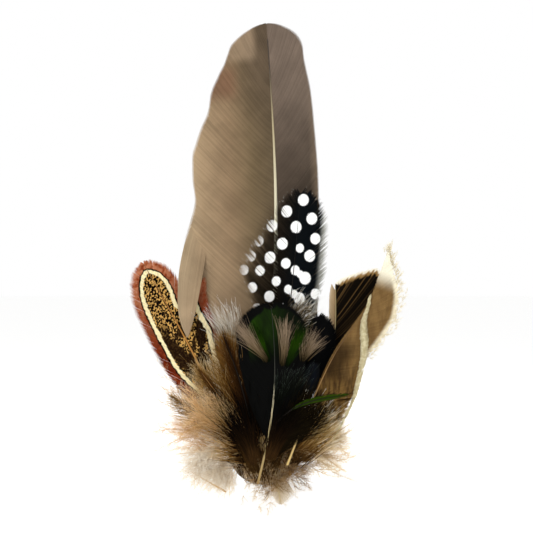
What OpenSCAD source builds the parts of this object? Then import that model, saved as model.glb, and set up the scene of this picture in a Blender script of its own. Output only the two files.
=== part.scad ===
// Feather hat mount: a spray of sixteen trimmed feathers glued on an oval felt pad,
// with a leather back cover and a bar brooch pin that has a roll-over safety collar.
//
// Frame: +Z up along the wing feather, the show side faces -Y, and +X is to the right
// of someone who looks at the show side. The origin is the centre of the oval, on the
// leather's outer face, which lies against the hat. All sizes are in millimetres.

/* [Backing pad] */
// Width of the oval pad
pad_w = 25; // [24:1:40]
// Height of the oval pad
pad_h = 30; // [26:1:46]
// Thickness of the felt core
felt_t = 2; // [1:0.25:4]
// Thickness of the leather back cover
leather_t = 1.2; // [1:0.1:2]

/* [Brooch pin] */
// Length of the bar plate
bar_l = 19; // [16:0.5:22]
// Width of the bar plate
bar_w = 4.6; // [4:0.2:6]
// Thickness of the bar plate
bar_t = 0.8; // [0.6:0.1:1]
// Height of the bar above the pad's centre
bar_z = 4.5; // [4:0.5:6]
// Gap between the bar and the edge of its window in the leather
window_gap = 0.5; // [0.3:0.1:0.8]
// Diameter of the pin wire
wire_d = 0.8; // [0.6:0.1:1]
// Height of the pin wire's axis above the leather
wire_h = 2.4; // [2.1:0.1:3]
// Diameter of the hinge rivet
rivet_d = 0.9; // [0.7:0.1:1.1]
// Wall of the catch housing
catch_wall = 0.35; // [0.3:0.05:0.5]
// Wall of the safety collar
collar_wall = 0.45; // [0.35:0.05:0.6]
// Play of the pin wire, all round, in the safety collar
wire_play = 0.32; // [0.2:0.02:0.4]
// Play of the pin wire across the slot that it leaves the catch by
slot_play = 0.35; // [0.2:0.05:0.5]
// Radial clearance of parts that turn in each other
run_gap = 0.05; // [0.03:0.01:0.08]
// Radius of the sewing thread
thread_r = 0.22; // [0.15:0.01:0.3]

/* [Feather build-up] */
// Width of the glue bed
glue_w = 20; // [18:0.5:22]
// Height of the glue bed
glue_h = 24; // [20:0.5:26]
// Thickness of a vane
vane_t = 0.35; // [0.25:0.05:0.45]
// Depth from one layer of feathers to the next
layer_pitch = 1.5; // [1.5:0.1:2]
// How far the vanes' edges curl back
curl_back = 0.3; // [0:0.1:0.4]

/* [Wing feather] */
// Length from quill end to tip
wing_l = 141.5; // [118:0.5:170]
// Widest part of the broad vane, on the left
wing_left_w = 30; // [25:0.5:36]
// Widest part of the narrow vane, on the right
wing_right_w = 14.8; // [12:0.2:18]
// Diameter of the quill at its cut end
wing_quill_d = 2.2; // [1.8:0.1:2.7]

/* [Spotted guinea fowl feather] */
// Length from quill end to tip
guinea_l = 84.5; // [70:0.5:100]
// Widest part of the left vane
guinea_left_w = 18; // [14:0.5:20]
// Widest part of the right vane
guinea_right_w = 10; // [8:0.5:12]

/* [Pheasant feathers] */
// Length of the outer feather
pheasant_outer_l = 69.5; // [60:0.5:80]
// Widest part of the outer feather's left vane
pheasant_outer_w = 11; // [8:0.5:12]
// Length of the inner feather
pheasant_inner_l = 62; // [52:0.5:70]
// Widest part of the inner feather's right vane
pheasant_inner_w = 8; // [6:0.5:10]

/* [Green and black feathers] */
// Length of the green feather in the centre
green_l = 57; // [48:0.5:64]
// Widest part of the green feather's left vane
green_left_w = 12; // [9:0.5:14]
// Length of the black feather
black_l = 46.5; // [40:0.5:54]
// Widest part of the black feather's right vane
black_right_w = 8.4; // [7:0.2:10]
// Length of the blue feather
blue_l = 30; // [26:0.5:36]
// Length of the narrow green wisp
wisp_l = 27; // [23:0.5:31]

/* [Right-hand feathers] */
// Length of the streaked feather
streaked_l = 57; // [48:0.5:66]
// Widest part of the streaked feather's right vane
streaked_right_w = 14; // [11:0.5:16]
// Length of the curled feather
curled_l = 75; // [63:0.5:90]
// Widest part of the curled feather's right vane
curled_right_w = 11.5; // [9.5:0.5:14]

/* [Brown body feathers] */
// Length of the golden hackle
hackle_l = 39; // [33:0.5:46]
// Length of the brown feather on the left
brown_left_l = 34; // [29:0.5:40]
// Length of the fawn feather on the left
fawn_left_l = 34; // [29:0.5:40]
// Length of the olive feather on the right
olive_right_l = 22.5; // [19:0.5:27]
// Length of the cream-edged feather on the right
cream_right_l = 29; // [24:0.5:34]
// Length of the small pale feather at the bottom
pale_l = 11.5; // [10:0.5:13]

/* [Hidden] */

// ---- Backing pad and bar brooch -------------------------------------------------
pad_sides = 64;
pad_round = 2.2;
leather_inner_y = -leather_t;
felt_front_y = leather_inner_y - felt_t;
bar_back_y = leather_inner_y + bar_t;
wire_r = wire_d / 2;

// The hinge stands at the left end of the bar, and the catch at its right end.
eye_r = 1.1;
eye_t = 1.2;
ear_t = 0.5;
ear_gap = 0.1;
rivet_head_r = 0.85;
rivet_head_t = 0.35;
hinge_x = -bar_l / 2 + eye_r;
catch_l = 2.4;
slot_w = wire_d + slot_play;
collar_bore_r = wire_r + wire_play;
collar_r = collar_bore_r + collar_wall;
housing_bore_r = collar_r + run_gap;
housing_r = housing_bore_r + catch_wall;
catch_inset = 0.3;
catch_x = bar_l / 2 - catch_l - catch_inset;
collar_lip = 0.3;
collar_tab_t = 0.5;
collar_tab_gap = 0.1;
collar_tab_r = 2.3;
collar_tab_w = 0.9;
collar_tab_angle = 50;
stem_taper_x = catch_x - collar_lip - 0.5;
stem_tip_x = catch_x + catch_l;
stem_tip_r = 0.08;
stitch_hole_r = 0.55;
stitch_x = bar_l / 2 - 5.6;
stitch_reach = 1.9;
slot_reach = 4;
fine = 48;

// Oval with slightly full corners, as a closed list of points.
function oval(w, h, n = pad_sides) = [
    for (i = [0:n - 1]) let (a = 360 * i / n, c = cos(a), s = sin(a))
        [w / 2 * sign(c) * pow(abs(c), 2 / pad_round), h / 2 * sign(s) * pow(abs(s), 2 / pad_round)]
];

// Extrudes a shape drawn in X and Z from y0 to y1.
module slab(y0, y1) {
    translate([0, y1, 0]) rotate([90, 0, 0]) linear_extrude(y1 - y0) children();
}

// Cylinder along X from x0 to x1.
module rod_x(r, x0, x1, r2 = -1) {
    translate([x0, 0, 0]) rotate([0, 90, 0]) cylinder(h = x1 - x0, r1 = r, r2 = r2 < 0 ? r : r2, $fn = fine);
}

// Cylinder along Z, centred on z = 0.
module rod_z(r, h) {
    cylinder(h = h, r = r, center = true, $fn = fine);
}

module at_wire() {
    translate([0, wire_h, bar_z]) children();
}

// C-shaped tube along X whose slot opens towards +Y.
module slotted_tube(r_out, r_in, x0, x1) {
    difference() {
        rod_x(r_out, x0, x1);
        rod_x(r_in, x0 - 1, x1 + 1);
        translate([x0 - 1, 0, -slot_w / 2]) cube([x1 - x0 + 2, slot_reach, slot_w]);
    }
}

module felt_pad() {
    color("dimgray") slab(felt_front_y, leather_inner_y) polygon(oval(pad_w, pad_h));
}

module leather_back() {
    color("saddlebrown") difference() {
        slab(leather_inner_y, 0) polygon(oval(pad_w, pad_h));
        translate([-bar_l / 2 - window_gap, leather_inner_y - 1, bar_z - bar_w / 2 - window_gap])
            cube([bar_l + 2 * window_gap, leather_t + 2, bar_w + 2 * window_gap]);
    }
}

module hinge_ear(side) {
    ear_z = side * (eye_t / 2 + ear_gap + ear_t / 2);
    translate([hinge_x, 0, bar_z + ear_z]) {
        translate([0, wire_h, 0]) rod_z(eye_r, ear_t);
        translate([-eye_r, bar_back_y - bar_t / 2, -ear_t / 2])
            cube([2 * eye_r, wire_h - bar_back_y + bar_t / 2, ear_t]);
    }
}

module pin_bar() {
    foot_w = 1.2;
    color("silver") difference() {
        union() {
            translate([-bar_l / 2, leather_inner_y, bar_z - bar_w / 2]) cube([bar_l, bar_t, bar_w]);
            hinge_ear(1);
            hinge_ear(-1);
            at_wire() slotted_tube(housing_r, housing_bore_r, catch_x, catch_x + catch_l);
            translate([catch_x, bar_back_y - bar_t / 2, bar_z - foot_w / 2])
                cube([catch_l, wire_h - housing_bore_r - catch_wall / 2 - bar_back_y + bar_t / 2, foot_w]);
        }
        translate([hinge_x, wire_h, bar_z]) rod_z(rivet_d / 2 + run_gap, 3 * bar_w);
        for (x = [-stitch_x, 0, stitch_x])
            translate([x, leather_inner_y - 1, bar_z]) rotate([-90, 0, 0])
                cylinder(h = bar_t + 2, r = stitch_hole_r, $fn = fine);
    }
}

// One loop of thread: out of the felt through a hole in the bar and over the bar's edge.
module stitch(x, side) {
    y0 = leather_inner_y - felt_t / 2;
    y1 = bar_back_y + thread_r;
    z1 = side * (bar_w / 2 + thread_r);
    translate([x, 0, bar_z]) {
        translate([0, y0, 0]) rotate([-90, 0, 0]) cylinder(h = y1 - y0, r = thread_r, $fn = 16);
        translate([0, y0, z1]) rotate([-90, 0, 0]) cylinder(h = y1 - y0, r = thread_r, $fn = 16);
        translate([0, y1, min(0, z1)]) cylinder(h = abs(z1), r = thread_r, $fn = 16);
        for (z = [0, z1]) translate([0, y1, z]) sphere(r = thread_r, $fn = 16);
    }
}

module bar_stitches() {
    color("black") for (x = [-stitch_x, 0, stitch_x]) stitch(x, -1);
}

module hinge_rivet() {
    half = eye_t / 2 + ear_gap + ear_t;
    color("silver") translate([hinge_x, wire_h, bar_z]) {
        rod_z(rivet_d / 2, 2 * half);
        for (side = [-1, 1])
            translate([0, 0, side * (half + rivet_head_t / 2)]) rod_z(rivet_head_r, rivet_head_t);
    }
}

module pin_stem() {
    color("gainsboro") at_wire() difference() {
        union() {
            translate([hinge_x, 0, 0]) rod_z(eye_r, eye_t);
            rod_x(wire_r, hinge_x, stem_taper_x);
            rod_x(wire_r, stem_taper_x, stem_tip_x, stem_tip_r);
        }
        translate([hinge_x, 0, 0]) rod_z(rivet_d / 2 + run_gap, 2 * eye_t);
    }
}

module safety_collar() {
    tab_x = catch_x + catch_l + collar_tab_gap;
    color("silver") at_wire() {
        slotted_tube(collar_r, collar_bore_r, catch_x - collar_lip, tab_x + collar_tab_t);
        rotate([collar_tab_angle, 0, 0])
            translate([tab_x, collar_bore_r + collar_wall / 2, -collar_tab_w / 2])
                cube([collar_tab_t, collar_tab_r - collar_bore_r, collar_tab_w]);
    }
}

// ---- Feathers -------------------------------------------------------------------
// A feather is a list of its facts, which the functions below read by these names.
ROOT = 0; // quill end, [x, z]
LENGTH = 1; // quill end to tip
LEAN = 2; // degrees from upright, positive to the right
BOW = 3; // sideways bow of the quill at half its length, positive to the right
LEFT = 4; // left vane: [width, share of the vane's length where it is widest, squareness of the tip]
RIGHT = 5; // right vane, the same way
BARE = 6; // length of bare quill below the vane
DEPTH = 7; // depth of the vane's middle plane in front of the leather, at the quill end
LIFT = 8; // how much further forward the tip stands
QUILL = 9; // quill radius at its cut end and at its tip

quill_sides = 8;
quill_rings = 14;
quill_share = 0.97;
quill_sink = 0.6;
quill_bedding = 0.25; // glue between the felt and the wing quill
vane_rings = 18;
vane_columns = 6;
vane_tip_w = 0.15;
rise = 0.7;
body_quill = [0.55, 0.12];

// The thick wing quill lies on the felt, and the other layers follow in front of it.
function layer(k) = k == 0
    ? -felt_front_y + quill_bedding + wing_quill_d / 2 - vane_t / 2 - quill_sink * wing_quill_d / 2
    : -felt_front_y + quill_bedding + wing_quill_d + 0.3 + layer_pitch * (k - 1);

wing = [[-0.3, -9.6], wing_l, 0.4, 3.4, [wing_left_w, 0.2, 2], [wing_right_w, 0.15, 6], 38, layer(0), -6,
    [wing_quill_d / 2, 0.25]];
streaked = [[6.4, -3.8], streaked_l, 16.5, 6, [1.2, 0.8, 5], [streaked_right_w, 0.85, 6], 32, layer(0), 0.5,
    body_quill];
fawn_left = [[-5.2, -7], fawn_left_l, -50, 1, [6, 0.6, 2], [6, 0.6, 2], 7, layer(0) + 0.5, 1, body_quill];
guinea = [[1.9, -3.8], guinea_l, 6.5, 0.8, [guinea_left_w, 0.48, 2], [guinea_right_w, 0.45, 2.2], 37,
    layer(1), 0.5, body_quill];
pheasant_inner = [[-7, -3], pheasant_inner_l, -19.9, -4, [7, 0.66, 2.2], [pheasant_inner_w, 0.7, 3], 18,
    layer(1), -2.5, body_quill];
cream_right = [[6.6, -8.2], cream_right_l, 40, 1, [5, 0.6, 2], [5.5, 0.6, 2], 6, layer(1), 1, body_quill];
pheasant_outer = [[-7.6, -4.6], pheasant_outer_l, -27.3, 1.2, [pheasant_outer_w, 0.7, 2.4],
    [7.5, 0.7, 2.2], 20, layer(2), -3.6, body_quill];
black = [[2.9, -3.2], black_l, 18, 0.5, [7, 0.6, 2], [black_right_w, 0.62, 3], 14, layer(2), 1.5, body_quill];
brown_left = [[-4.6, -3.8], brown_left_l, -31.7, 1, [5, 0.6, 2], [5, 0.6, 2], 11, layer(3), 2, body_quill];
blue = [[3.6, -1.9], blue_l, 24.4, 0.5, [3.4, 0.6, 2.2], [3.6, 0.6, 2.2], 11, layer(3), 1.5, body_quill];
curled = [[7, -7], curled_l, 25, -1.4, [1.5, 0.5, 2], [curled_right_w, 0.72, 2.5], 14, layer(3), 5,
    [0.65, 0.12]];
pale = [[3.2, -9], pale_l, 170.6, 0, [6, 0.4, 1.6], [2, 0.5, 2], 3.5, layer(2), 1, [0.3, 0.1]];
hackle = [[-2.6, -1.9], hackle_l, -16.6, 1, [5, 0.65, 2], [5, 0.65, 2], 10, layer(4), 1.5, body_quill];
olive_right = [[2.2, -1.9], olive_right_l, 51.3, 0.8, [4, 0.6, 2.2], [4.5, 0.5, 2.2], 8, layer(4) + 0.4, 0.8,
    [0.4, 0.12]];
green = [[-2.2, -12.8], green_l, 4.1, 3, [green_left_w, 0.74, 2.6], [10.5, 0.74, 2.4], 19, layer(5), 2,
    [0.6, 0.12]];
wisp = [[2.4, 4.2], wisp_l, 65, 1.2, [1.8, 0.6, 2], [2, 0.7, 2], 7, layer(6), 1.5, [0.4, 0.1]];

// The parted barbs of the wing feather's broad vane, which pass in front of the pheasant feathers.
flap = [[-24.6, 32.6], 28, 2, 0, [3.6, 0.55, 2], [4, 0.7, 2], 0, layer(1) + 1.5, -5, body_quill];

// Sideways and lengthwise directions of a feather, in X and Z.
function sideways(f) = [cos(f[LEAN]), -sin(f[LEAN])];
function lengthwise(f) = [sin(f[LEAN]), cos(f[LEAN])];

// Point of a feather at share s of its length, across to one side, and forward of its middle plane.
function feather_point(f, s, across, forward) =
    let (p = f[ROOT] + sideways(f) * (f[BOW] * sin(180 * s) + across) + lengthwise(f) * f[LENGTH] * s)
        [p[0], -f[DEPTH] - f[LIFT] * s * s - forward, p[1]];

function quill_r(f, s) = f[QUILL][0] + (f[QUILL][1] - f[QUILL][0]) * s;

// Width of one vane at share t of the vane's length.
function vane_width(side, t) = vane_tip_w + (side[0] - vane_tip_w) * (t < side[1]
    ? pow(sin(90 * t / side[1]), rise)
    : sqrt(max(0, 1 - pow((t - side[1]) / (1 - side[1]), side[2]))));

// Joins equal closed rings of points into one solid.
module loft(rings) {
    n = len(rings[0]);
    last = len(rings) - 1;
    polyhedron(
        points = [for (ring = rings) each ring],
        faces = [
            [for (i = [0:n - 1]) i],
            for (k = [0:last - 1]) for (i = [0:n - 1]) let (j = (i + 1) % n, a = k * n, b = a + n)
                each [[a + i, b + i, b + j], [a + i, b + j, a + j]],
            [for (i = [n - 1:-1:0]) last * n + i]
        ]
    );
}

// Round tapered quill, half sunk in the front of the vane.
module quill(f) {
    loft([
        for (k = [0:quill_rings - 1])
            let (s = quill_share * k / (quill_rings - 1), r = quill_r(f, s))
                [for (i = [0:quill_sides - 1]) let (a = 360 * i / quill_sides)
                    feather_point(f, s, r * cos(a), vane_t / 2 + quill_sink * r + r * sin(a))]
    ]);
}

// Thin sheet on both sides of the quill, whose edges curl back.
module vane(f) {
    start = f[BARE] / f[LENGTH];
    loft([
        for (k = [0:vane_rings - 1])
            let (t = sin(90 * k / (vane_rings - 1)), s = start + (1 - start) * t,
                l = vane_width(f[LEFT], t), r = vane_width(f[RIGHT], t))
                concat(
                    [for (j = [-vane_columns / 2:vane_columns / 2]) let (u = 2 * j / vane_columns)
                        feather_point(f, s, u * (u < 0 ? l : r), vane_t / 2 - curl_back * u * u)],
                    [for (j = [vane_columns / 2:-1:-vane_columns / 2]) let (u = 2 * j / vane_columns)
                        feather_point(f, s, u * (u < 0 ? l : r), -vane_t / 2 - curl_back * u * u)]
                )
    ]);
}

module wing_feather_quill() { color("cornsilk") quill(wing); }
module wing_feather_vane() { color("rosybrown") vane(wing); }
module wing_feather_flap() { color("tan") vane(flap); }
module guinea_feather_quill() { color("darkslategray") quill(guinea); }
module guinea_feather_vane() { color("black") vane(guinea); }
module pheasant_outer_quill() { color("goldenrod") quill(pheasant_outer); }
module pheasant_outer_vane() { color("burlywood") vane(pheasant_outer); }
module pheasant_inner_quill() { color("goldenrod") quill(pheasant_inner); }
module pheasant_inner_vane() { color("sienna") vane(pheasant_inner); }
module green_feather_quill() { color("wheat") quill(green); }
module green_feather_vane() { color("darkgreen") vane(green); }
module black_feather_quill() { color("black") quill(black); }
module black_feather_vane() { color("black") vane(black); }
module blue_feather_quill() { color("black") quill(blue); }
module blue_feather_vane() { color("midnightblue") vane(blue); }
module green_wisp_quill() { color("darkolivegreen") quill(wisp); }
module green_wisp_vane() { color("olivedrab") vane(wisp); }
module streaked_feather_quill() { color("tan") quill(streaked); }
module streaked_feather_vane() { color("saddlebrown") vane(streaked); }
module curled_feather_quill() { color("beige") quill(curled); }
module curled_feather_vane() { color("peru") vane(curled); }
module golden_hackle_quill() { color("goldenrod") quill(hackle); }
module golden_hackle_vane() { color("darkgoldenrod") vane(hackle); }
module brown_left_quill() { color("tan") quill(brown_left); }
module brown_left_vane() { color("saddlebrown") vane(brown_left); }
module fawn_left_quill() { color("tan") quill(fawn_left); }
module fawn_left_vane() { color("tan") vane(fawn_left); }
module olive_right_quill() { color("tan") quill(olive_right); }
module olive_right_vane() { color("darkolivegreen") vane(olive_right); }
module cream_right_quill() { color("beige") quill(cream_right); }
module cream_right_vane() { color("burlywood") vane(cream_right); }
module pale_feather_quill() { color("beige") quill(pale); }
module pale_feather_vane() { color("linen") vane(pale); }

// ---- Glue and down --------------------------------------------------------------
// Closed ellipsoid of loose down or glue: its centre [x, z], its size [x, z], and its back and front depth.
module puff(centre, size, back, front) {
    translate([centre[0], -(back + front) / 2, centre[1]])
        scale([size[0] / 2, (front - back) / 2, size[1] / 2]) sphere(r = 1, $fn = 20);
}

// The bed holds the quills of the rear layers, and a smaller mound on it holds those of the front ones.
module glue_bed() {
    mound_share = 0.5;
    glue_over_quill = 0.6;
    bed_y = -layer(3) - glue_over_quill;
    mound_y = -layer(6) - glue_over_quill;
    color("lightgoldenrodyellow") {
        slab(bed_y, felt_front_y) polygon(oval(glue_w, glue_h, 40));
        slab(mound_y, bed_y) polygon(oval(glue_w * mound_share, glue_h * mound_share, 32));
    }
}

module down_left() { color("tan") puff([-20, 7], [25, 16], layer(0) + 1, layer(4)); }
module down_left_low() { color("linen") puff([-14, -9], [20, 13], layer(0), layer(3)); }
module down_bottom() { color("linen") puff([1.5, -13], [20, 13], layer(5) + 1.4, layer(5) + 5); }
module down_right() { color("wheat") puff([18, -2], [20, 18], layer(0) + 1, layer(4)); }

felt_pad();
leather_back();
pin_bar();
bar_stitches();
hinge_rivet();
pin_stem();
safety_collar();
glue_bed();
wing_feather_quill();
wing_feather_vane();
wing_feather_flap();
guinea_feather_quill();
guinea_feather_vane();
pheasant_outer_quill();
pheasant_outer_vane();
pheasant_inner_quill();
pheasant_inner_vane();
green_feather_quill();
green_feather_vane();
black_feather_quill();
black_feather_vane();
blue_feather_quill();
blue_feather_vane();
green_wisp_quill();
green_wisp_vane();
streaked_feather_quill();
streaked_feather_vane();
curled_feather_quill();
curled_feather_vane();
golden_hackle_quill();
golden_hackle_vane();
brown_left_quill();
brown_left_vane();
fawn_left_quill();
fawn_left_vane();
olive_right_quill();
olive_right_vane();
cream_right_quill();
cream_right_vane();
pale_feather_quill();
pale_feather_vane();
down_left();
down_left_low();
down_bottom();
down_right();
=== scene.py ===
"""Looks of the feather hat mount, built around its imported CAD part.

Lengths are in millimetres in the part's own frame, and MM turns them to metres. Each feather's
barbs leave its quill one by one, so its vane is made of real strands that end on an outline.
"""

import bmesh
import bpy
import numpy as np
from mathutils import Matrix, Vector


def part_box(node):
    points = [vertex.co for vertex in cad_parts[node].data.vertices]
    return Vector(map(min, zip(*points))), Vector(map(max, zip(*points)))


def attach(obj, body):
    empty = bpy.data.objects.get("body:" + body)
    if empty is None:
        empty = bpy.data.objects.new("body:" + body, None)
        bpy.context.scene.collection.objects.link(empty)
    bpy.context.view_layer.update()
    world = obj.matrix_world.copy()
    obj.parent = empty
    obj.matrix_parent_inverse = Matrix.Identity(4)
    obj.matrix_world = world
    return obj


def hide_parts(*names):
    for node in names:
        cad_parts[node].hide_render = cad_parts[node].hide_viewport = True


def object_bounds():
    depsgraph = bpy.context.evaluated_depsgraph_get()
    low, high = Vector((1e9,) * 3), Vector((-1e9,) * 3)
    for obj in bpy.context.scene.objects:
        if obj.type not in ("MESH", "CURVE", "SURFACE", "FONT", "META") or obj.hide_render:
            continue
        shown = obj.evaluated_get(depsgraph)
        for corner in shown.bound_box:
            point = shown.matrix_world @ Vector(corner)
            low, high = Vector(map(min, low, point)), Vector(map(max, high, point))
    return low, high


MM = 0.001
SPRAY = "spray"
FORWARD = np.array([0.0, -1.0, 0.0])

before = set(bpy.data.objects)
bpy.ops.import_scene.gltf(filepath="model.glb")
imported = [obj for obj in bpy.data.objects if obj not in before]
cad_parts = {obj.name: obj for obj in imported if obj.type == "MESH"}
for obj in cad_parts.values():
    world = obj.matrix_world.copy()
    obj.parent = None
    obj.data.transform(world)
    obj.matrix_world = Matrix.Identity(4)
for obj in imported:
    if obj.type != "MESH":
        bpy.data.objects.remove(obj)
cad_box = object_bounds()


# ---- Nodes and colours ----------------------------------------------------------------


def linear(hex_colour):
    """Linear RGBA of an sRGB colour such as "#8a7256"."""
    parts = [int(hex_colour[i : i + 2], 16) / 255 for i in (1, 3, 5)]
    return [c / 12.92 if c <= 0.04045 else ((c + 0.055) / 1.055) ** 2.4 for c in parts] + [1.0]


def add(tree, kind, inputs=None, out=None, stops=(), **settings):
    """Adds a node with its settings and links, and returns it, or its output when out names one.

    An input is a value, a socket, an sRGB hex, "@tip" for the attribute tip that strands carry, or a sum such
    as ("MULTIPLY", a, b). stops are the (place, sRGB hex) of a colour ramp.
    """
    made = tree.nodes.new(kind)
    for name, value in settings.items():
        setattr(made, name, value)
    for key, value in (inputs or {}).items():
        if isinstance(value, tuple) and isinstance(value[0], str):
            value = add(tree, "ShaderNodeMath", dict(enumerate(value[1:])), out=0, operation=value[0])
        elif isinstance(value, str) and value[0] == "@":
            value = add(tree, "ShaderNodeAttribute", out="Fac", attribute_name=value[1:])
        elif isinstance(value, str) and value[0] == "#":
            value = linear(value)
        if isinstance(value, bpy.types.NodeSocket):
            tree.links.new(value, made.inputs[key])
        else:
            made.inputs[key].default_value = value
    while stops and len(made.color_ramp.elements) < len(stops):
        made.color_ramp.elements.new(0.5)
    for k, (place, colour) in enumerate(stops):
        made.color_ramp.elements[k].position = place
        made.color_ramp.elements[k].color = linear(colour)
    return made if out is None else made.outputs[out]


def grain(tree, size_mm, detail=2.0, stretch=(1, 1, 1), turn=0.0):
    """Noise on object coordinates whose blobs are about size_mm wide."""
    place = add(tree, "ShaderNodeTexCoord", out="Object")
    turned = add(tree, "ShaderNodeMapping", {"Vector": place, "Rotation": (0, np.radians(turn), 0),
                 "Scale": stretch}, out=0)
    return add(tree, "ShaderNodeTexNoise", {"Vector": turned, "Scale": 1 / (size_mm * MM), "Detail": detail},
               out="Fac")


def painted(tree, colour, layers):
    """Colour with layers over it. Each is (colour, mask, mask ...), and its masks are multiplied.

    A mask is a strength, or (measure, start, full): a smooth step from nothing at start to the whole at full.
    """
    for over, *masks in layers:
        cover = 1.0
        for mask in masks:
            if isinstance(mask, tuple):
                measure, start, full = mask
                mask = add(tree, "ShaderNodeMapRange", {"Value": measure, "From Min": start, "From Max": full},
                           out="Result", interpolation_type="SMOOTHSTEP")
            cover = add(tree, "ShaderNodeMath", {0: cover, 1: mask}, out=0, operation="MULTIPLY")
        colour = add(tree, "ShaderNodeMix", {0: cover, 6: colour, 7: over}, out=2, data_type="RGBA")
    return colour


# ---- Quills and spines ----------------------------------------------------------------

QUILL_RINGS, QUILL_SIDES = 14, 8  # how the part's quills are made
QUILL_SHARE = 0.97  # a quill ends this far along its feather
OVERSHOOT = 20.0  # how far a spine goes on past its quill, for barbs that reach beyond it
BARB_ROOT_DEPTH = 0.12  # how far inside the quill a barb starts
WIDEST_BARB = 0.9  # half the width that a barb may have
FULL_WIDTH = 1.155  # brings a triangle's half width to that of its strand


class Spine:
    """Centre line of a quill, from its cut end to its tip, with a sideways and a forward direction."""

    def __init__(self, centres, radii):
        chord = centres[-1] - centres[0]
        self.length = float(np.linalg.norm(chord)) / QUILL_SHARE
        last = centres[-1] - centres[-2]
        beyond = centres[-1] + last / np.linalg.norm(last) * OVERSHOOT
        self.centres = np.vstack([centres, beyond])
        self.radii = np.append(radii, radii[-1])
        self.stations = (self.centres - self.centres[0]) @ (chord / np.linalg.norm(chord))
        tangents = np.gradient(self.centres, axis=0)
        tangents /= np.linalg.norm(tangents, axis=1)[:, None]
        self.side = np.cross(-FORWARD, tangents)
        self.side /= np.linalg.norm(self.side, axis=1)[:, None]
        self.front = np.cross(self.side, tangents)

    def read(self, table, along):
        return np.stack([np.interp(along, self.stations, table[:, k]) for k in range(3)], axis=-1)

    def radius(self, along):
        return np.interp(along, self.stations, self.radii)

    def place(self, along, across, forward):
        """Points at a distance along the quill, across from it and forward of its axis."""
        return (self.read(self.centres, along) + self.read(self.side, along) * across[..., None]
                + self.read(self.front, along) * forward[..., None])


def read_quill(node):
    """Spine of a CAD quill, in millimetres, from its rings of corners."""
    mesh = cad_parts[node].data
    corners = np.empty(len(mesh.vertices) * 3)
    mesh.vertices.foreach_get("co", corners)
    corners = np.unique(np.round(corners.reshape(-1, 3) / MM, 3), axis=0)
    middle = corners.mean(0)
    axis = np.linalg.svd(corners - middle)[2][0]
    rings = corners[np.argsort((corners - middle) @ axis)].reshape(QUILL_RINGS, QUILL_SIDES, 3)
    centres = rings.mean(1)
    radii = np.linalg.norm(rings - centres[:, None], axis=2).mean(1)
    if radii[0] < radii[-1]:
        centres, radii = centres[::-1], radii[::-1]
    return Spine(centres, radii)


def bowed(spine, sideways, forward=None):
    """The same spine, moved sideways and forward by distances that change along it."""
    along = spine.stations[:-1]
    moved = spine.centres[:-1] + spine.side[:-1] * sideways(along)[:, None]
    if forward:
        moved = moved + spine.front[:-1] * forward(along)[:, None]
    return Spine(moved, spine.radii[:-1])


# ---- Outlines of vanes ----------------------------------------------------------------


def curve_through(points, steps=12):
    """Smooth line through a few (along, width) points."""
    p = np.array(points, float)
    slopes = np.gradient(p, axis=0)
    t = np.linspace(0, 1, steps, endpoint=False)[:, None]
    pieces = []
    for k in range(len(p) - 1):
        pieces.append((1 + 2 * t) * (1 - t) ** 2 * p[k] + t * (1 - t) ** 2 * slopes[k]
                      + t * t * (3 - 2 * t) * p[k + 1] + t * t * (t - 1) * slopes[k + 1])
    return np.vstack(pieces + [p[-1:]])


def bell(start, end, width, widest, square, rise=0.7):
    """Outline that widens quickly to its widest share and ends rounded, like the part's vanes."""
    t = np.linspace(0, 1, 60)
    swell = np.sin(np.pi / 2 * np.clip(t / widest, 0, 1)) ** rise
    close = np.sqrt(1 - np.clip((t - widest) / (1 - widest), 0, 1) ** square)
    return np.column_stack([start + (end - start) * t, width * np.where(t < widest, swell, close)])


def smooth_noise(values, size, rng):
    """Smooth random numbers from -1 to 1, whose waves are about size long."""
    low, high = values.min(), values.max()
    knots = np.arange(low - size, high + 2 * size, size)
    return np.interp(values, knots, rng.uniform(-1, 1, len(knots)))


# ---- Barbs ----------------------------------------------------------------------------


def barb_ends(root, share, outline, sweep):
    """Where each barb ends on an outline that has one width at each place along the quill."""
    slope = sweep[0] + (sweep[1] - sweep[0]) * share**5
    low, high = root.copy(), np.full(len(root), outline[-1, 0])
    for _ in range(30):
        middle = (low + high) / 2
        past = middle - root > slope * np.interp(middle, outline[:, 0], outline[:, 1], right=0)
        low, high = np.where(past, low, middle), np.where(past, middle, high)
    return low, np.interp(low, outline[:, 0], outline[:, 1], right=0)


def spaced_ends(share, outline, crowd):
    """Ends spaced along an outline of any shape; crowd above 1 brings more of them to its start."""
    gone = np.append(0, np.cumsum(np.linalg.norm(np.diff(outline, axis=0), axis=1)))
    wanted = gone[-1] * share**crowd
    return np.interp(wanted, gone, outline[:, 0]), np.interp(wanted, gone, outline[:, 1])


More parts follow.
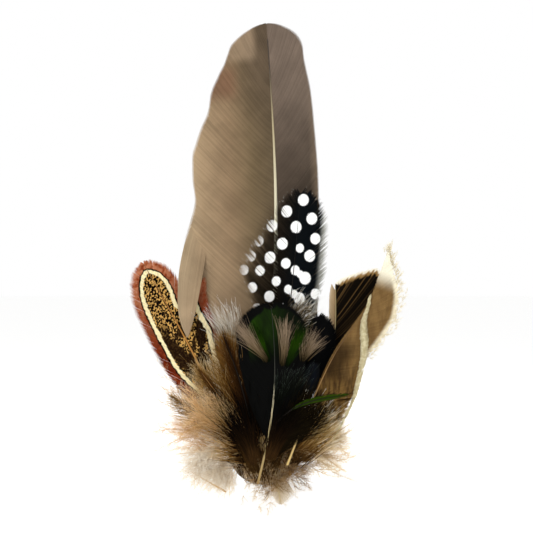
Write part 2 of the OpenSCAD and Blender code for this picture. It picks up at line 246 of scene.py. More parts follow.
def barbs(spine, side, outline, roots, pitch, seed, sweep=(1.0, 1.8), crowd=0.0, arch=1.2, cup=1.0,
          points=14, cover=(1.2, 1.1), fringe=0.08, lock=(5.0, 0.02), splits=(), ragged=0.0, ripple=0.2,
          loose=0.0, finest=0.05):
    """Barbs of one vane: side is -1 for left and 1 for right, and roots is the stretch of quill they grow on.

    sweep is how far a barb's end lies past its root, per millimetre of width, at the base and at the tip.
    With crowd set, the ends are spaced along the outline instead. cover is a barb's width as a share of its
    pitch, at the quill and at the edge. lock is the size of the tufts that barbs hook into and how much
    they close up. splits are (root, gap, step forward) of parted places. loose frees the barbs' ends.
    """
    rng = np.random.default_rng(seed)
    root = np.arange(roots[0], roots[1], pitch)
    count = len(root)
    share = (root - roots[0]) / (roots[1] - roots[0])
    end, width = spaced_ends(share, outline, crowd) if crowd else barb_ends(root, share, outline, sweep)

    edges = [roots[0]]
    while edges[-1] < roots[1]:
        edges.append(edges[-1] + lock[0] * rng.uniform(0.5, 1.5))
    tuft = np.searchsorted(edges, root, side="right")
    shift, step = np.zeros(count), np.zeros(count)
    for k in np.unique(tuft):
        here = tuft == k
        shift[here] = (end[here].mean() - end[here]) * lock[1] * rng.uniform(0.2, 1.8)
        step[here] = rng.normal(0, 0.06)
    for at, gap, lift in splits:
        reach = np.exp(-np.abs(root - at) / (3 + 2 * gap))
        shift = shift + np.where(root > at, 0.5, -0.5) * gap * reach
        step = step + np.where(root > at, lift, 0.0) * reach
    cut = 1 - ragged * np.abs(rng.normal(0, 0.6, count)) / np.maximum(np.hypot(end - root, width), 1.0)
    end, width = root + (end - root) * cut, np.maximum(width * cut, 0.3)

    u = np.linspace(0, 1, points)[None, :]
    start = -BARB_ROOT_DEPTH
    across = start + (width - start)[:, None] * u
    along = root[:, None] + (end - root)[:, None] * u**arch + shift[:, None] * u**3
    bend = (width / max(outline[:, 1].max(), 1e-6))[:, None]
    forward = -cup * u**2 * bend**2 + step[:, None] * u
    forward = forward + ripple * smooth_noise(root, 9.0, rng)[:, None] * u
    forward = forward + 0.04 * rng.normal(0, 1, count)[:, None] * u
    if loose:
        wander = rng.normal(0, 1, (count, 3))
        across = across + loose * wander[:, :1] * u**2
        along = along + loose * wander[:, 1:2] * u**2
        forward = forward + loose * wander[:, 2:] * u**1.5
    place = spine.place(along, side * across, forward)

    run = np.gradient(place, axis=1)
    run /= np.linalg.norm(run, axis=2)[..., None] + 1e-9
    gap = np.diff(place, axis=0)
    gap = np.linalg.norm(gap - (gap * run[1:]).sum(2)[..., None] * run[1:], axis=2)
    near = np.minimum(np.vstack([gap[:1], gap]), np.vstack([gap, gap[-1:]]))
    if loose:
        near = np.full_like(near, pitch * 0.7)
    half = 0.5 * near * (cover[0] + (cover[1] - cover[0]) * u)
    half = np.clip(half, finest, WIDEST_BARB) * np.clip((1 - u) / fringe, 0.12, 1) ** 0.7
    front = spine.read(spine.front, along)
    lean = 2 * cup * bend * u / max(width.max(), 1)
    facing = front + side * spine.read(spine.side, along) * lean[..., None]
    flat_edge = np.abs(outline[None, None, :, 0] - along[..., None]) ** 2
    flat_edge = np.sqrt((flat_edge + (outline[None, None, :, 1] - across[..., None]) ** 2).min(-1))
    ones = np.ones((1, points))
    return {"place": place, "half_width": half, "facing": facing,
            "along": along, "across": side * across, "edge": flat_edge, "tip": u * np.ones((count, 1)),
            "tint": rng.uniform(0, 1, count)[:, None] * ones, "root": root[:, None] * ones}


def given_sockets(tree, sockets):
    """Gives a geometry tree its sockets, and returns the outputs of its input node."""
    for label, kind in {"Geometry": "Geometry", **sockets, "Material": "Material"}.items():
        tree.interface.new_socket(label, in_out="INPUT", socket_type="NodeSocket" + kind)
    tree.interface.new_socket("Geometry", in_out="OUTPUT", socket_type="NodeSocketGeometry")
    return add(tree, "NodeGroupInput").outputs


def close_tree(tree, skin, given):
    """Ends a geometry tree with real faces and their material."""
    real = add(tree, "GeometryNodeRealizeInstances", {"Geometry": skin}, 0)
    covered = add(tree, "GeometryNodeSetMaterial", {"Geometry": real, "Material": given["Material"]}, 0)
    add(tree, "NodeGroupOutput", {"Geometry": covered})


def strand_tree():
    """Geometry nodes that thicken polylines to closed strands with a flat back and a ridged front."""
    tree = bpy.data.node_groups.new("strands", "GeometryNodeTree")
    given = given_sockets(tree, {"Ridge height": "Float", "Sides": "Int"})
    half = add(tree, "GeometryNodeInputNamedAttribute", {"Name": "half_width"}, "Attribute", data_type="FLOAT")
    facing = add(tree, "GeometryNodeInputNamedAttribute", {"Name": "facing"}, "Attribute",
                 data_type="FLOAT_VECTOR")
    lines = add(tree, "GeometryNodeMeshToCurve", {"Mesh": given["Geometry"]}, 0)
    turned = add(tree, "GeometryNodeSetCurveNormal", {"Curve": lines}, mode="FREE")
    tree.links.new(facing, turned.inputs["Normal"])
    ring = add(tree, "GeometryNodeCurvePrimitiveCircle", {"Resolution": given["Sides"], "Radius": 1.0}, "Curve")
    squeeze = add(tree, "ShaderNodeCombineXYZ", {"X": given["Ridge height"], "Y": FULL_WIDTH, "Z": 1.0}, 0)
    flat = add(tree, "GeometryNodeTransform", {"Geometry": ring, "Scale": squeeze}, 0)
    skin = add(tree, "GeometryNodeCurveToMesh", {"Curve": turned.outputs[0], "Profile Curve": flat,
               "Scale": half, "Fill Caps": True}, "Mesh")
    close_tree(tree, skin, given)
    return tree


def lines_mesh(name, batches):
    """Mesh of polylines that carries each strand's attributes, in metres."""
    place, edges, first = [], [], 0
    for b in batches:
        n, m = b["place"].shape[:2]
        place.append(b["place"].reshape(-1, 3) * MM)
        index = first + np.arange(n * m).reshape(n, m)
        edges.append(np.stack([index[:, :-1], index[:, 1:]], axis=-1).reshape(-1, 2))
        first += n * m
    place, edges = np.vstack(place), np.vstack(edges)
    mesh = bpy.data.meshes.new(name)
    mesh.vertices.add(len(place))
    mesh.vertices.foreach_set("co", place.ravel())
    mesh.edges.add(len(edges))
    mesh.edges.foreach_set("vertices", edges.ravel())
    names = sorted({k for b in batches for k in b} - {"place", "facing"})
    for key in names:
        values = np.concatenate([np.ravel(b[key]) if key in b else np.zeros(b["place"][..., 0].size)
                                 for b in batches])
        values = (values * (MM if key == "half_width" else 1.0)).astype(np.float32)
        mesh.attributes.new(key, "FLOAT", "POINT").data.foreach_set("value", values)
    facing = np.vstack([b["facing"].reshape(-1, 3) for b in batches]).astype(np.float32)
    mesh.attributes.new("facing", "FLOAT_VECTOR", "POINT").data.foreach_set("vector", facing.ravel())
    mesh.update()
    return mesh


def front_map(mesh):
    """Gives a mesh a map of its front view, so that its pattern keeps its place when it is baked."""
    count = len(mesh.vertices)
    place = np.empty(count * 3)
    mesh.vertices.foreach_get("co", place)
    flat = place.reshape(-1, 3)[:, [0, 2]]
    low, high = flat.min(0), flat.max(0)
    flat = 0.01 + 0.98 * (flat - low) / (high - low)
    corner = np.empty(len(mesh.loops), int)
    mesh.loops.foreach_get("vertex_index", corner)
    layer = mesh.uv_layers.new(name="OFBake")
    layer.uv.foreach_set("vector", flat[corner].astype(np.float32).ravel())


def turned_out(mesh):
    """Flips a closed mesh if its faces point inwards."""
    mesh.calc_loop_triangles()
    corners = np.empty(len(mesh.loop_triangles) * 3, int)
    mesh.loop_triangles.foreach_get("vertices", corners)
    place = np.empty(len(mesh.vertices) * 3)
    mesh.vertices.foreach_get("co", place)
    a, b, c = np.moveaxis(place.reshape(-1, 3)[corners.reshape(-1, 3)], 1, 0)
    if (a * np.cross(b, c)).sum() < 0:
        mesh.flip_normals()


def grown(name, line_mesh, tree, inputs, material, smooth=False):
    """Object whose mesh a node tree makes of some polylines."""
    holder = bpy.data.objects.new(name + "_lines", line_mesh)
    bpy.context.scene.collection.objects.link(holder)
    modifier = holder.modifiers.new("grow", "NODES")
    modifier.node_group = tree
    sockets = {s.name: s.identifier for s in tree.interface.items_tree if s.in_out == "INPUT"}
    for key, value in {**inputs, "Material": material}.items():
        modifier[sockets[key]] = value
    bpy.context.view_layer.update()
    shape = holder.evaluated_get(bpy.context.evaluated_depsgraph_get())
    mesh = bpy.data.meshes.new_from_object(shape)
    bpy.data.objects.remove(holder)
    bpy.data.meshes.remove(line_mesh)
    mesh.name = name
    turned_out(mesh)
    front_map(mesh)
    mesh.polygons.foreach_set("use_smooth", [smooth] * len(mesh.polygons))
    made = bpy.data.objects.new(name, mesh)
    bpy.context.scene.collection.objects.link(made)
    print("MADE", name, len(mesh.polygons), "faces")
    return made


STRANDS = strand_tree()


def settled(made, nodes=()):
    """Rides a piece on the spray and hides the CAD nodes it stands for."""
    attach(made, SPRAY)
    if nodes:
        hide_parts(*nodes)


def strands(name, batches, material, nodes=(), ridge=0.22, sides=3):
    """One piece made of strands, which stands for the named CAD nodes."""
    inputs = {"Ridge height": ridge, "Sides": sides}
    settled(grown(name, lines_mesh(name, batches), STRANDS, inputs, material), nodes)


def shaft(name, spine, material, nodes, until=0.985, slim=1.0, taper=1.0):
    """Tapered round quill along its spine; slim scales it, and taper above 1 thins it sooner."""
    along = np.linspace(0, spine.length * until, 60)[None, :]
    share = along / spine.length
    radius = spine.radius(along) * slim * (1 - 0.75 * share) ** (taper - 1)
    place = spine.place(along, np.zeros_like(along), np.zeros_like(along))
    batch = {"place": place, "half_width": radius, "facing": spine.read(spine.front, along), "along": along,
             "tip": share, "tint": np.full_like(along, 0.5)}
    inputs = {"Ridge height": 0.9, "Sides": 14}
    settled(grown(name, lines_mesh(name, [batch]), STRANDS, inputs, material, smooth=True), nodes)


# ---- Plumage materials ----------------------------------------------------------------


def blank_material(name):
    material = bpy.data.materials.new(name)
    material.use_nodes = True
    material.node_tree.nodes.clear()
    return material


def keratin(name, look, roughness=0.55, sheen=0.0, specular=0.02, tint=0.18):
    """Keratin of a feather: look is the colours from a barb's foot to its end, or a function that builds them.

    Barbs are matt and each is a little lighter or darker than the next, by tint. Dark colours are deepened and
    pale ones are kept: painted shade, for the light that sinks in between the barbs.
    """
    material = blank_material(name)
    tree = material.node_tree
    if callable(look):
        colour = look(tree)
    else:
        colour = add(tree, "ShaderNodeValToRGB", {"Fac": "@tip"}, "Color", look)
    # Painted shade: the gamma darkens dark colours, for the light that sinks in between barbs.
    deepened = add(tree, "ShaderNodeGamma", {"Color": colour, "Gamma": 1.2}, 0)
    lightness = ("MULTIPLY_ADD", "@tint", tint, 1 - tint / 2)
    varied = add(tree, "ShaderNodeMix", {0: 1.0, 6: deepened, 7: lightness}, 2, data_type="RGBA",
                 blend_type="MULTIPLY")
    surface = add(tree, "ShaderNodeBsdfPrincipled", {"Base Color": varied, "Roughness": roughness,
                  "Specular IOR Level": specular, "Sheen Weight": sheen, "Sheen Roughness": 0.4}, 0)
    add(tree, "ShaderNodeOutputMaterial", {"Surface": surface})
    return material


def horn(name, stops, roughness=0.35, specular=0.5):
    """Horn of a quill, which is smooth and shines: its colours from the cut end to the tip."""
    return keratin(name, stops, roughness=roughness, specular=specular, tint=0.0)


PALE_HORN = horn("quill_horn_cream", [(0.0, "#e9dcae"), (1.0, "#c8b88a")])
GOLD_HORN = horn("quill_horn_gold", [(0.0, "#d8a850"), (0.6, "#b98432"), (1.0, "#6d4818")])
TAN_HORN = horn("quill_horn_tan", [(0.0, "#d9bf84"), (0.35, "#a98652"), (0.6, "#6b5030"), (1.0, "#a8946a")],
                0.4, 0.3)
DARK_HORN = horn("quill_horn_dark", [(0.0, "#2a2118"), (1.0, "#0c0a08")], 0.4, 0.12)


# ---- Wing feather ---------------------------------------------------------------------

# (along the quill, width) of each vane's edge, with a step where its barbs have parted.
WING_LEFT = [(24, 5), (32, 12), (38, 20), (42.5, 27), (47, 30.0), (52, 30.8), (57.6, 30.9), (67, 30.5),
             (74, 29.5), (80, 27.9), (87, 26.3), (94.4, 26.9), (102.4, 26.7), (106, 25.6), (111.5, 23.5),
             (117, 20.9), (123.4, 19.5), (129.3, 16.5), (132, 14.9), (135.4, 13.4), (138.4, 12.0), (141, 9.2),
             (143.0, 5.8), (144.3, 2.8), (144.8, 0)]
WING_RIGHT = [(26, 4), (38, 10), (44, 13), (60, 14.3), (86.4, 14.1), (96, 14.05), (108.8, 13.6), (117, 13.3),
              (123.2, 12.9), (128.6, 12.1), (133, 11.5), (137, 11.3), (139.5, 10.4), (141.4, 8.9), (143.2, 6.2),
              (144.4, 3.2), (144.8, 0)]
WING_HALF, WING_CUP = 30.9, 2.2  # width of the broad vane, and how far its edge lies behind its quill
WING_FOOT = 9.6  # depth of the quill's cut end below the frame's origin


def paint_wing(tree):
    """Grey-brown wing feather, paler tan at the broad vane's edge and low down, greyer on the narrow vane."""
    broad = add(tree, "ShaderNodeValToRGB", {"Fac": ("MULTIPLY", "@across", -1 / 30)}, "Color", [
        (0.0, "#6e614e"), (0.25, "#807058"), (0.5, "#98836a"), (0.8, "#aa957a"), (1.0, "#bba88c")])
    broad = painted(tree, broad, [
        ("#6b5d50", ("@along", 95, 136), ("@across", -15, -4.5), 0.6),
        ("#a8937a", ("@along", 84, 50), 0.4),
        ("#ab9780", ("@along", 131, 135), ("@across", -3, -6), 0.6)])
    narrow = add(tree, "ShaderNodeValToRGB", {"Fac": ("MULTIPLY", "@across", 1 / 14)}, "Color", [
        (0.0, "#5b5046"), (0.8, "#564c42"), (1.0, "#8a7a68")])
    narrow = painted(tree, "#84766a", [(narrow, ("@along", 138, 80))])
    colour = painted(tree, broad, [
        (narrow, ("@across", -0.2, 0.2)),
        ("#7d5c4a", ("@along", 118, 124), ("@along", 134, 128), ("@across", -9, -14), 0.6)])
    blotch = add(tree, "ShaderNodeMapRange", {"Value": grain(tree, 9, 3), "From Min": 0.35, "From Max": 0.65,
                 "To Min": 0.9, "To Max": 1.06}, "Result", interpolation_type="SMOOTHSTEP")
    return add(tree, "ShaderNodeMix", {0: 1.0, 6: colour, 7: blotch}, 2, data_type="RGBA",
               blend_type="MULTIPLY")


def wing_feather():
    spine = read_quill("wing_feather_quill")
    cream = horn("quill_horn_pale", [(0.0, "#efe6c0"), (0.55, "#f1ecd2"), (0.78, "#b8ab8a"), (0.92, "#4a3c2c"),
                                     (1.0, "#3a2e22")])
    web = keratin("wing_feather_keratin", paint_wing, roughness=0.5)
    shaft("wing_shaft", spine, cream, ["wing_feather_quill"], slim=1.15, taper=1.7)
    left = barbs(spine, -1, curve_through(WING_LEFT), (14, 144.4), 0.5, seed=1, sweep=(0.85, 3.5), arch=1.25,
                 cup=WING_CUP, points=22, cover=(1.5, 1.6), fringe=0.03, lock=(6, 0.012), ripple=0.35,
                 splits=[(46, 0.0, 0.15), (84, 0.0, 0.2), (104, 0.0, 0.2), (113, 0.0, 0.25)])
    right = barbs(spine, 1, curve_through(WING_RIGHT), (20, 144.4), 0.5, seed=2, sweep=(1.1, 4.0), arch=1.2,
                  cup=1.4, points=16, cover=(1.5, 1.6), fringe=0.03, lock=(5, 0.012), ripple=0.2)
    strands("wing_web", [left, right], web, ["wing_feather_vane"])


# (x, z) of both edges of the parted barbs, from their upper ends to their lower ends.
FLAP_LEFT = [(-20.6, 78), (-24.0, 67.5), (-26.2, 61), (-27.6, 51), (-27.4, 41), (-24.9, 32.5)]
FLAP_RIGHT = [(-15.6, 84), (-17.0, 75), (-18.6, 64), (-19.9, 53.5), (-21.9, 42.3), (-24.5, 32.8)]


def wing_flap():
    """Parted barbs of the wing feather's broad vane, which hang in front of the pheasant feathers."""
    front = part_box("wing_feather_flap")[0][1] / MM + 0.4
    spine = read_quill("wing_feather_quill")
    rng = np.random.default_rng(5)
    left, right = curve_through(FLAP_LEFT, 6), curve_through(FLAP_RIGHT, 6)
    count, points = 64, len(left)
    v = np.linspace(0, 1, count)[:, None]
    t = np.linspace(0, 1, points)[None, :]
    begin = rng.uniform(0, 0.12, (count, 1))
    reach = 1 - np.abs(rng.normal(0, 0.02, (count, 1)))
    where = (begin + (reach - begin) * t) * (points - 1)
    x, z = ((1 - v) * np.interp(where, np.arange(points), left[:, k])
            + v * np.interp(where, np.arange(points), right[:, k]) for k in (0, 1))
    middle = spine.read(spine.centres, z + WING_FOOT)
    web = middle[..., 1] + WING_CUP * ((x - middle[..., 0]) / WING_HALF) ** 2 + 0.5
    leave = np.clip((71 - 8 * v - z) / 18, 0, 1)
    y = web + (front - web) * leave**2 * (3 - 2 * leave)
    gap = np.abs(np.gradient(x, axis=0))
    taper = np.clip(np.minimum(t / 0.15, (1 - t) / 0.05), 0.12, 1)
    ones = np.ones((count, points))
    hanging = {"place": np.stack([x, y, z], axis=-1), "facing": FORWARD * ones[..., None],
               "along": z + WING_FOOT, "across": x - middle[..., 0], "tip": t * ones,
               "tint": rng.uniform(0, 1, (count, 1)) * ones,
               "half_width": np.clip(1.1 * gap, 0.05, 0.5) * taper}
    strands("wing_flap", [hanging], keratin("wing_flap_keratin", paint_wing, roughness=0.5),
            ["wing_feather_flap"])


# ---- Guinea fowl feather --------------------------------------------------------------

GUINEA_LEFT = [(37, 8), (44, 12), (50.5, 14.7), (58.2, 17.6), (63.3, 15.9), (68.4, 13), (75.2, 9.6), (82, 5.5),
               (85.5, 2), (86, 0)]
GUINEA_RIGHT = [(37, 7), (48, 9.2), (58, 10.6), (66, 10.6), (72, 10.2), (77, 9.4), (82, 6.8), (85.4, 3),
                (86, 0)]
# Centres and radii of the white spots: (along the quill, across it, radius).
GUINEA_SPOTS = [
    (81.2, 1.1, 1.6), (77.1, -3.9, 1.6), (72.1, -8.2, 1.6), (66.9, -12.1, 1.5), (61.8, -14.1, 1.5),
    (57.1, -15.9, 1.4), (75.5, 4.3, 1.6), (72.4, -0.5, 1.6), (66.7, -4.4, 1.6), (61.9, -7.9, 1.6),
    (57.4, -10.7, 1.4), (69.2, 6.0, 1.5), (65.8, 1.3, 1.2), (60.5, -2.7, 1.4), (63.6, 4.7, 1.6),
    (58.6, 0.5, 1.3), (56.4, 3.9, 1.7), (57.5, 2.2, 1.0), (54.5, -5.2, 1.3), (51.7, -12.6, 1.4),
    (49.4, -6.9, 1.5), (52.3, -1.1, 1.2), (51.0, 0.8, 1.1), (49.8, 2.7, 1.6), (51.7, 7.7, 1.4),
    (45.0, -10.5, 1.4), (44.0, 6.5, 1.3), (46.0, -2.5, 1.3), (43.0, 1.5, 1.3),
]


def spotted(batch, spots):
    """Adds how far each point lies outside the nearest spot, in millimetres."""
    along, across = batch["along"][..., None], batch["across"][..., None]
    at, off, radius = np.array(spots).T
    batch["spot"] = (np.hypot((along - at) * 0.9, across - off) - radius - 0.12).min(-1)
    return batch


def paint_guinea(tree):
    """Brown-black to blue-black feather with white spots and a grey edge on its right vane."""
    return painted(tree, "#231d15", [
        ("#10161a", ("@across", -7, 2)),
        ("#a3a39c", ("@across", 6.8, 8.6), ("@tip", 0.55, 0.9)),
        ("#d8d6cf", ("@tip", 0.93, 1.0), ("@tint", 0.55, 0.75)),
        ("#fdfdfb", ("@spot", 0.12, -0.12))])


def guinea_feather():
    spine = read_quill("guinea_feather_quill")
    web = keratin("guinea_keratin", paint_guinea, roughness=0.42, tint=0.1)
    left = barbs(spine, -1, curve_through(GUINEA_LEFT), (30, 83), 0.42, seed=11, sweep=(0.75, 1.4), arch=1.25,
                 cup=1.2, points=40, cover=(1.1, 0.8), fringe=0.2, lock=(2.5, 0.05), ragged=2.0, ripple=0.25)
    right = barbs(spine, 1, curve_through(GUINEA_RIGHT), (34, 83), 0.42, seed=12, sweep=(0.8, 1.6), arch=1.2,
                  cup=1.4, points=30, cover=(1.25, 1.0), fringe=0.14, lock=(2.5, 0.05), ragged=1.4, ripple=0.2)
    strands("guinea_web", [spotted(half, GUINEA_SPOTS) for half in (left, right)], web,
            ["guinea_feather_vane"])
    shaft("guinea_shaft", spine, DARK_HORN, ["guinea_feather_quill"], slim=0.6, taper=1.4)


# ---- Pheasant feathers ----------------------------------------------------------------


def paint_pheasant(tree):
    """Rust border, a thin black line, a cream band and a gold centre that is speckled black."""
    centre = painted(tree, "#cfa866", [
        ("#150c05", (grain(tree, 0.52, 1.0, (1.0, 1.0, 0.8), 25), 0.44, 0.5)),
        ("#2e1c0c", (grain(tree, 3.6, 1.0, (1.2, 1, 0.6), 25), 0.42, 0.49), ("@along", 52, 43), 0.95)])
    wobble = ("MULTIPLY_ADD", grain(tree, 1.1, 1.0), 0.9, -0.45)
    inward = add(tree, "ShaderNodeMath", {0: "@edge", 1: wobble}, 0, operation="ADD")
    return painted(tree, "#6d2c14", [
        ("#bd8262", ("@along", 38, 66)),
        ("#92492a", (grain(tree, 1.2, 2.0), 0.4, 0.7)),
        ("#140b05", (inward, 3.0, 3.15)),
        ("#f2e6bd", (inward, 3.45, 3.6)),
        (centre, (inward, 4.6, 4.8))])


INNER_LEFT = [(14, 3), (22, 3.6), (32, 3.4), (42, 2.0), (50, 0.6), (54, 0.1)]
INNER_RIGHT = [(14, 5), (24, 8.2), (36, 9.2), (42, 9.2), (49, 8.4), (54, 8.4), (57.6, 8.5), (58.3, 5),
               (58.7, 2), (58.8, 0)]
OUTER_RIGHT = [(14, 2), (24, 2.4), (34, 2.8), (42, 3.8), (50, 6.0), (58, 7.4), (64, 6.6), (67.5, 4.2),
               (69.3, 2), (69.9, 0)]


def pheasant_feathers():
    web = keratin("pheasant_keratin", paint_pheasant, roughness=0.45, tint=0.3)
    outer = read_quill("pheasant_outer_quill")
    shapes = {"pheasant_outer": (bell(13, outer.length * 1.005, 11.2, 0.45, 3.6), curve_through(OUTER_RIGHT)),
              "pheasant_inner": (curve_through(INNER_LEFT), curve_through(INNER_RIGHT))}
    for seed, (name, outlines) in enumerate(shapes.items()):
        spine = read_quill(name + "_quill")
        halves = []
        for side, outline in zip((-1, 1), outlines):
            halves.append(barbs(spine, side, outline, (12, outline[-1, 0] - 1.5), 0.34,
                                seed=21 + 3 * seed + side, sweep=(1.2, 3.0), arch=1.2, cup=0.9, points=26,
                                cover=(1.3, 1.2), fringe=0.1, lock=(2.6, 0.04), ragged=0.7, ripple=0.15))
        if name == "pheasant_outer":
            halves[1]["edge"] = halves[1]["edge"] + 6 * np.clip((52 - halves[1]["along"]) / 8, 0, 1)
        else:
            halves[0]["edge"] = halves[0]["edge"] + 6
            halves[1]["edge"] = halves[1]["edge"] * 0.75 + 1.6 * np.clip((54 - halves[1]["along"]) / 13, 0, 1)
        strands(name + "_web", halves, web, [name + "_vane"])
        shaft(name + "_shaft", spine, GOLD_HORN, [name + "_quill"], slim=0.85, taper=1.2,
              until=0.985 if name == "pheasant_outer" else 0.8)


# ---- Green, black and blue feathers ---------------------------------------------------


def paint_green(tree):
    """Green with a black rim and a black base; brighter green mottles in the middle are a painted sheen."""
    return painted(tree, "#182a00", [
        # Painted sheen: brighter green mottling in the middle of the vane.
        ("#2a4602", (grain(tree, 3.0, 1.0, (1, 1, 0.3)), 0.3, 0.75)),
        ("#0c1700", ("@across", -7, 7)),
        ("#010200", ("@along", 47, 37)),
        ("#030402", (("ADD", "@edge", ("MULTIPLY", "@across", 0.15)), 2.9, 2.2))])


def paint_black(tree):
    """Glossy black, with frayed white ends near the tip."""
    return painted(tree, "#08090a", [
        ("#e8e4d8", ("@tip", 0.8, 0.95), ("@along", 44, 48), ("@tint", 0.45, 0.6))])


def small_vane(name, web, slot, left, right, base, seed, quill=None, bow=0.0, pitch=0.4, **looks):
    """Both vanes and the shaft of one small body feather."""
    spine = read_quill(name + "_quill")
    if bow:
        spine = bowed(spine, lambda along: bow * np.sin(np.pi * np.clip(along / spine.length, 0, 1) ** 0.8))
    halves = []
    for side, shape in ((-1, left), (1, right)):
        outline = bell(base, spine.length * 1.01, *shape)
        halves.append(barbs(spine, side, outline, (base, spine.length * 0.96), pitch, seed + side, **looks))
    strands(name + "_web", halves, web, [name + "_vane"])
    shaft(name + "_shaft", spine, quill or DARK_HORN,
          [name + "_quill"], slim=0.6, taper=1.4)


def dark_feathers():
    glossy = {"sweep": (1.3, 3.0), "cover": (1.3, 1.2), "fringe": 0.05, "lock": (3, 0.03), "ragged": 0.3}
    green = keratin("green_gloss_keratin", paint_green, roughness=0.4, specular=0.05, tint=0.25)
    foot = horn("green_feather_horn", [(0.0, "#a58a58"), (0.25, "#e0cb94"), (0.5, "#e9e0c2"), (0.56, "#2a2c14"),
                                       (1.0, "#0c1400")], specular=0.4)
    small_vane("green_feather", green, "green_vane", (12, 0.74, 2.6), (10.5, 0.74, 2.4), 14, 31, foot,
               points=20, **glossy)
    black = keratin("black_keratin", paint_black, roughness=0.4, specular=0.03, tint=0.1)
    small_vane("black_feather", black, "black_vane", (7, 0.6, 2), (8.4, 0.62, 3), 12, 34, points=16,
               **{**glossy, "ragged": 0.6})
    # Black with a deep blue gloss.
    blue = keratin("blue_gloss_keratin", [(0.0, "#020304"), (0.5, "#04101c"), (1.0, "#020406")], roughness=0.3,
                   specular=0.06, tint=0.1)
    small_vane("blue_feather", blue, "blue_vane", (3.4, 0.6, 2.2), (3.6, 0.6, 2.2), 9, 37, points=12, **glossy)
    # Bright olive green with black ends.
    wisp = keratin("green_wisp_keratin", [(0.0, "#2c3a08"), (0.7, "#3c5410"), (0.82, "#0a0f06"),
                                          (1.0, "#050604")], roughness=0.4)
    small_vane("green_wisp", wisp, "green_vane", (1.3, 0.6, 2), (1.2, 0.6, 2), 7, 41, bow=-4.6, points=12,
               pitch=0.45, sweep=(4.0, 5.0), cover=(1.3, 1.0), fringe=0.3, lock=(4, 0.3), ragged=0.8)


# ---- Streaked and curled feathers -----------------------------------------------------

STREAKED_ENDS = [(38, 6.0), (44, 10.5), (49, 13.8), (55, 16), (60.4, 14.4), (60.2, 10), (59.0, 5.5), (57.8, 2),
                 (56.8, 0.3)]
CURLED_RIGHT = [(8, 9), (11.5, 11.4), (21.5, 11.6), (32, 11.8), (38, 10.6), (41, 10.3), (44, 11), (48, 11.9),
                (53.6, 12.8), (58.2, 12.5), (64, 9.6), (67.5, 6.8), (70.5, 4.0), (73, 1.8), (75.5, 0.3)]
# (along the quill, across it) of the fold in the curled feather.
ROLL_LINE = [(13.6, 11.0), (25.1, 11.7), (32.4, 10.9), (39.5, 9.1), (44, 7.2), (47.4, 4.8), (51.7, 1.4),
             (58.8, -0.6)]


def paint_streaked(tree):
    """Dark brown with pale streaks along the barbs and a cream fringe."""
    streak = add(tree, "ShaderNodeTexNoise", {"W": "@root", "Scale": 1.6, "Detail": 3.0}, "Fac",
                 noise_dimensions="1D")
    fringe = add(tree, "ShaderNodeMath", {0: "@edge", 1: ("MULTIPLY", "@tint", 0.7)}, 0, operation="ADD")
    return painted(tree, "#1a140c", [
        ("#6a5436", (streak, 0.52, 0.72)),
        ("#a88a5c", (fringe, 2.6, 1.9), ("@tip", 0.5, 0.6)),
        ("#fbf6e6", (fringe, 1.7, 1.0), ("@tip", 0.5, 0.6))])


def paint_curled(tree):
    """Tan-brown vane with a dark smudge, which pales to a cream margin and a cream tip."""
    lower = painted(tree, "#55422a", [("#8a6e42", (grain(tree, 1.2, 3.0, (1, 1, 0.2), -50), 0.35, 0.65))])
    return painted(tree, "#7d6442", [
        ("#8f754e", (grain(tree, 1.6, 3.0, (1, 1, 0.25), -50), 0.3, 0.7)),
        (lower, ("@along", 46, 24)),
        ("#2a1d0f", ("@along", 26, 33), ("@along", 47, 39), ("@tip", 0.75, 0.3), 0.75),
        ("#efe6cd", ("@edge", 2.4, 0.9), ("@across", 2, 5), ("@along", 40, 46)),
        ("#efe6cd", ("@edge", 2.4, 0.9), ("@across", 2, 5), ("@along", 22, 14)),
        ("#f6f1de", ("@along", 62, 69))])


def paint_fold(tree):
    """Pale underside of the folded vane."""
    return painted(tree, "#beb290", [("#d8d0b0", (grain(tree, 0.9, 2.0), 0.3, 0.7))])


def streaked_feather():
    spine = read_quill("streaked_feather_quill")
    web = keratin("streaked_keratin", paint_streaked, roughness=0.5)
    # Cream narrow vane with a dark line next to the quill.
    edge = keratin("cream_edge_keratin", [(0.0, "#3a2a1a"), (0.2, "#a58e6e"), (0.7, "#bda888"),
                                          (1.0, "#d8c8b0")])
    right = barbs(spine, 1, curve_through(STREAKED_ENDS), (22, 55.4), 0.26, seed=51, crowd=1.0, arch=1.0,
                  cup=1.5, points=20, cover=(1.5, 1.4), fringe=0.05, lock=(2.2, 0.02), ragged=0.5)
    strands("streaked_web", [right], web, ["streaked_feather_vane"])
    left = barbs(spine, -1, bell(24, 57.5, 2.3, 0.6, 4), (24, 54), 0.3, seed=52, sweep=(1.8, 2.0), cup=0.3,
                 points=10, cover=(1.4, 1.3), fringe=0.12, lock=(3, 0.05), ragged=0.2)
    strands("streaked_edge", [left], edge)
    shaft("streaked_shaft", spine, PALE_HORN, ["streaked_feather_quill"], slim=0.55, taper=1.3)


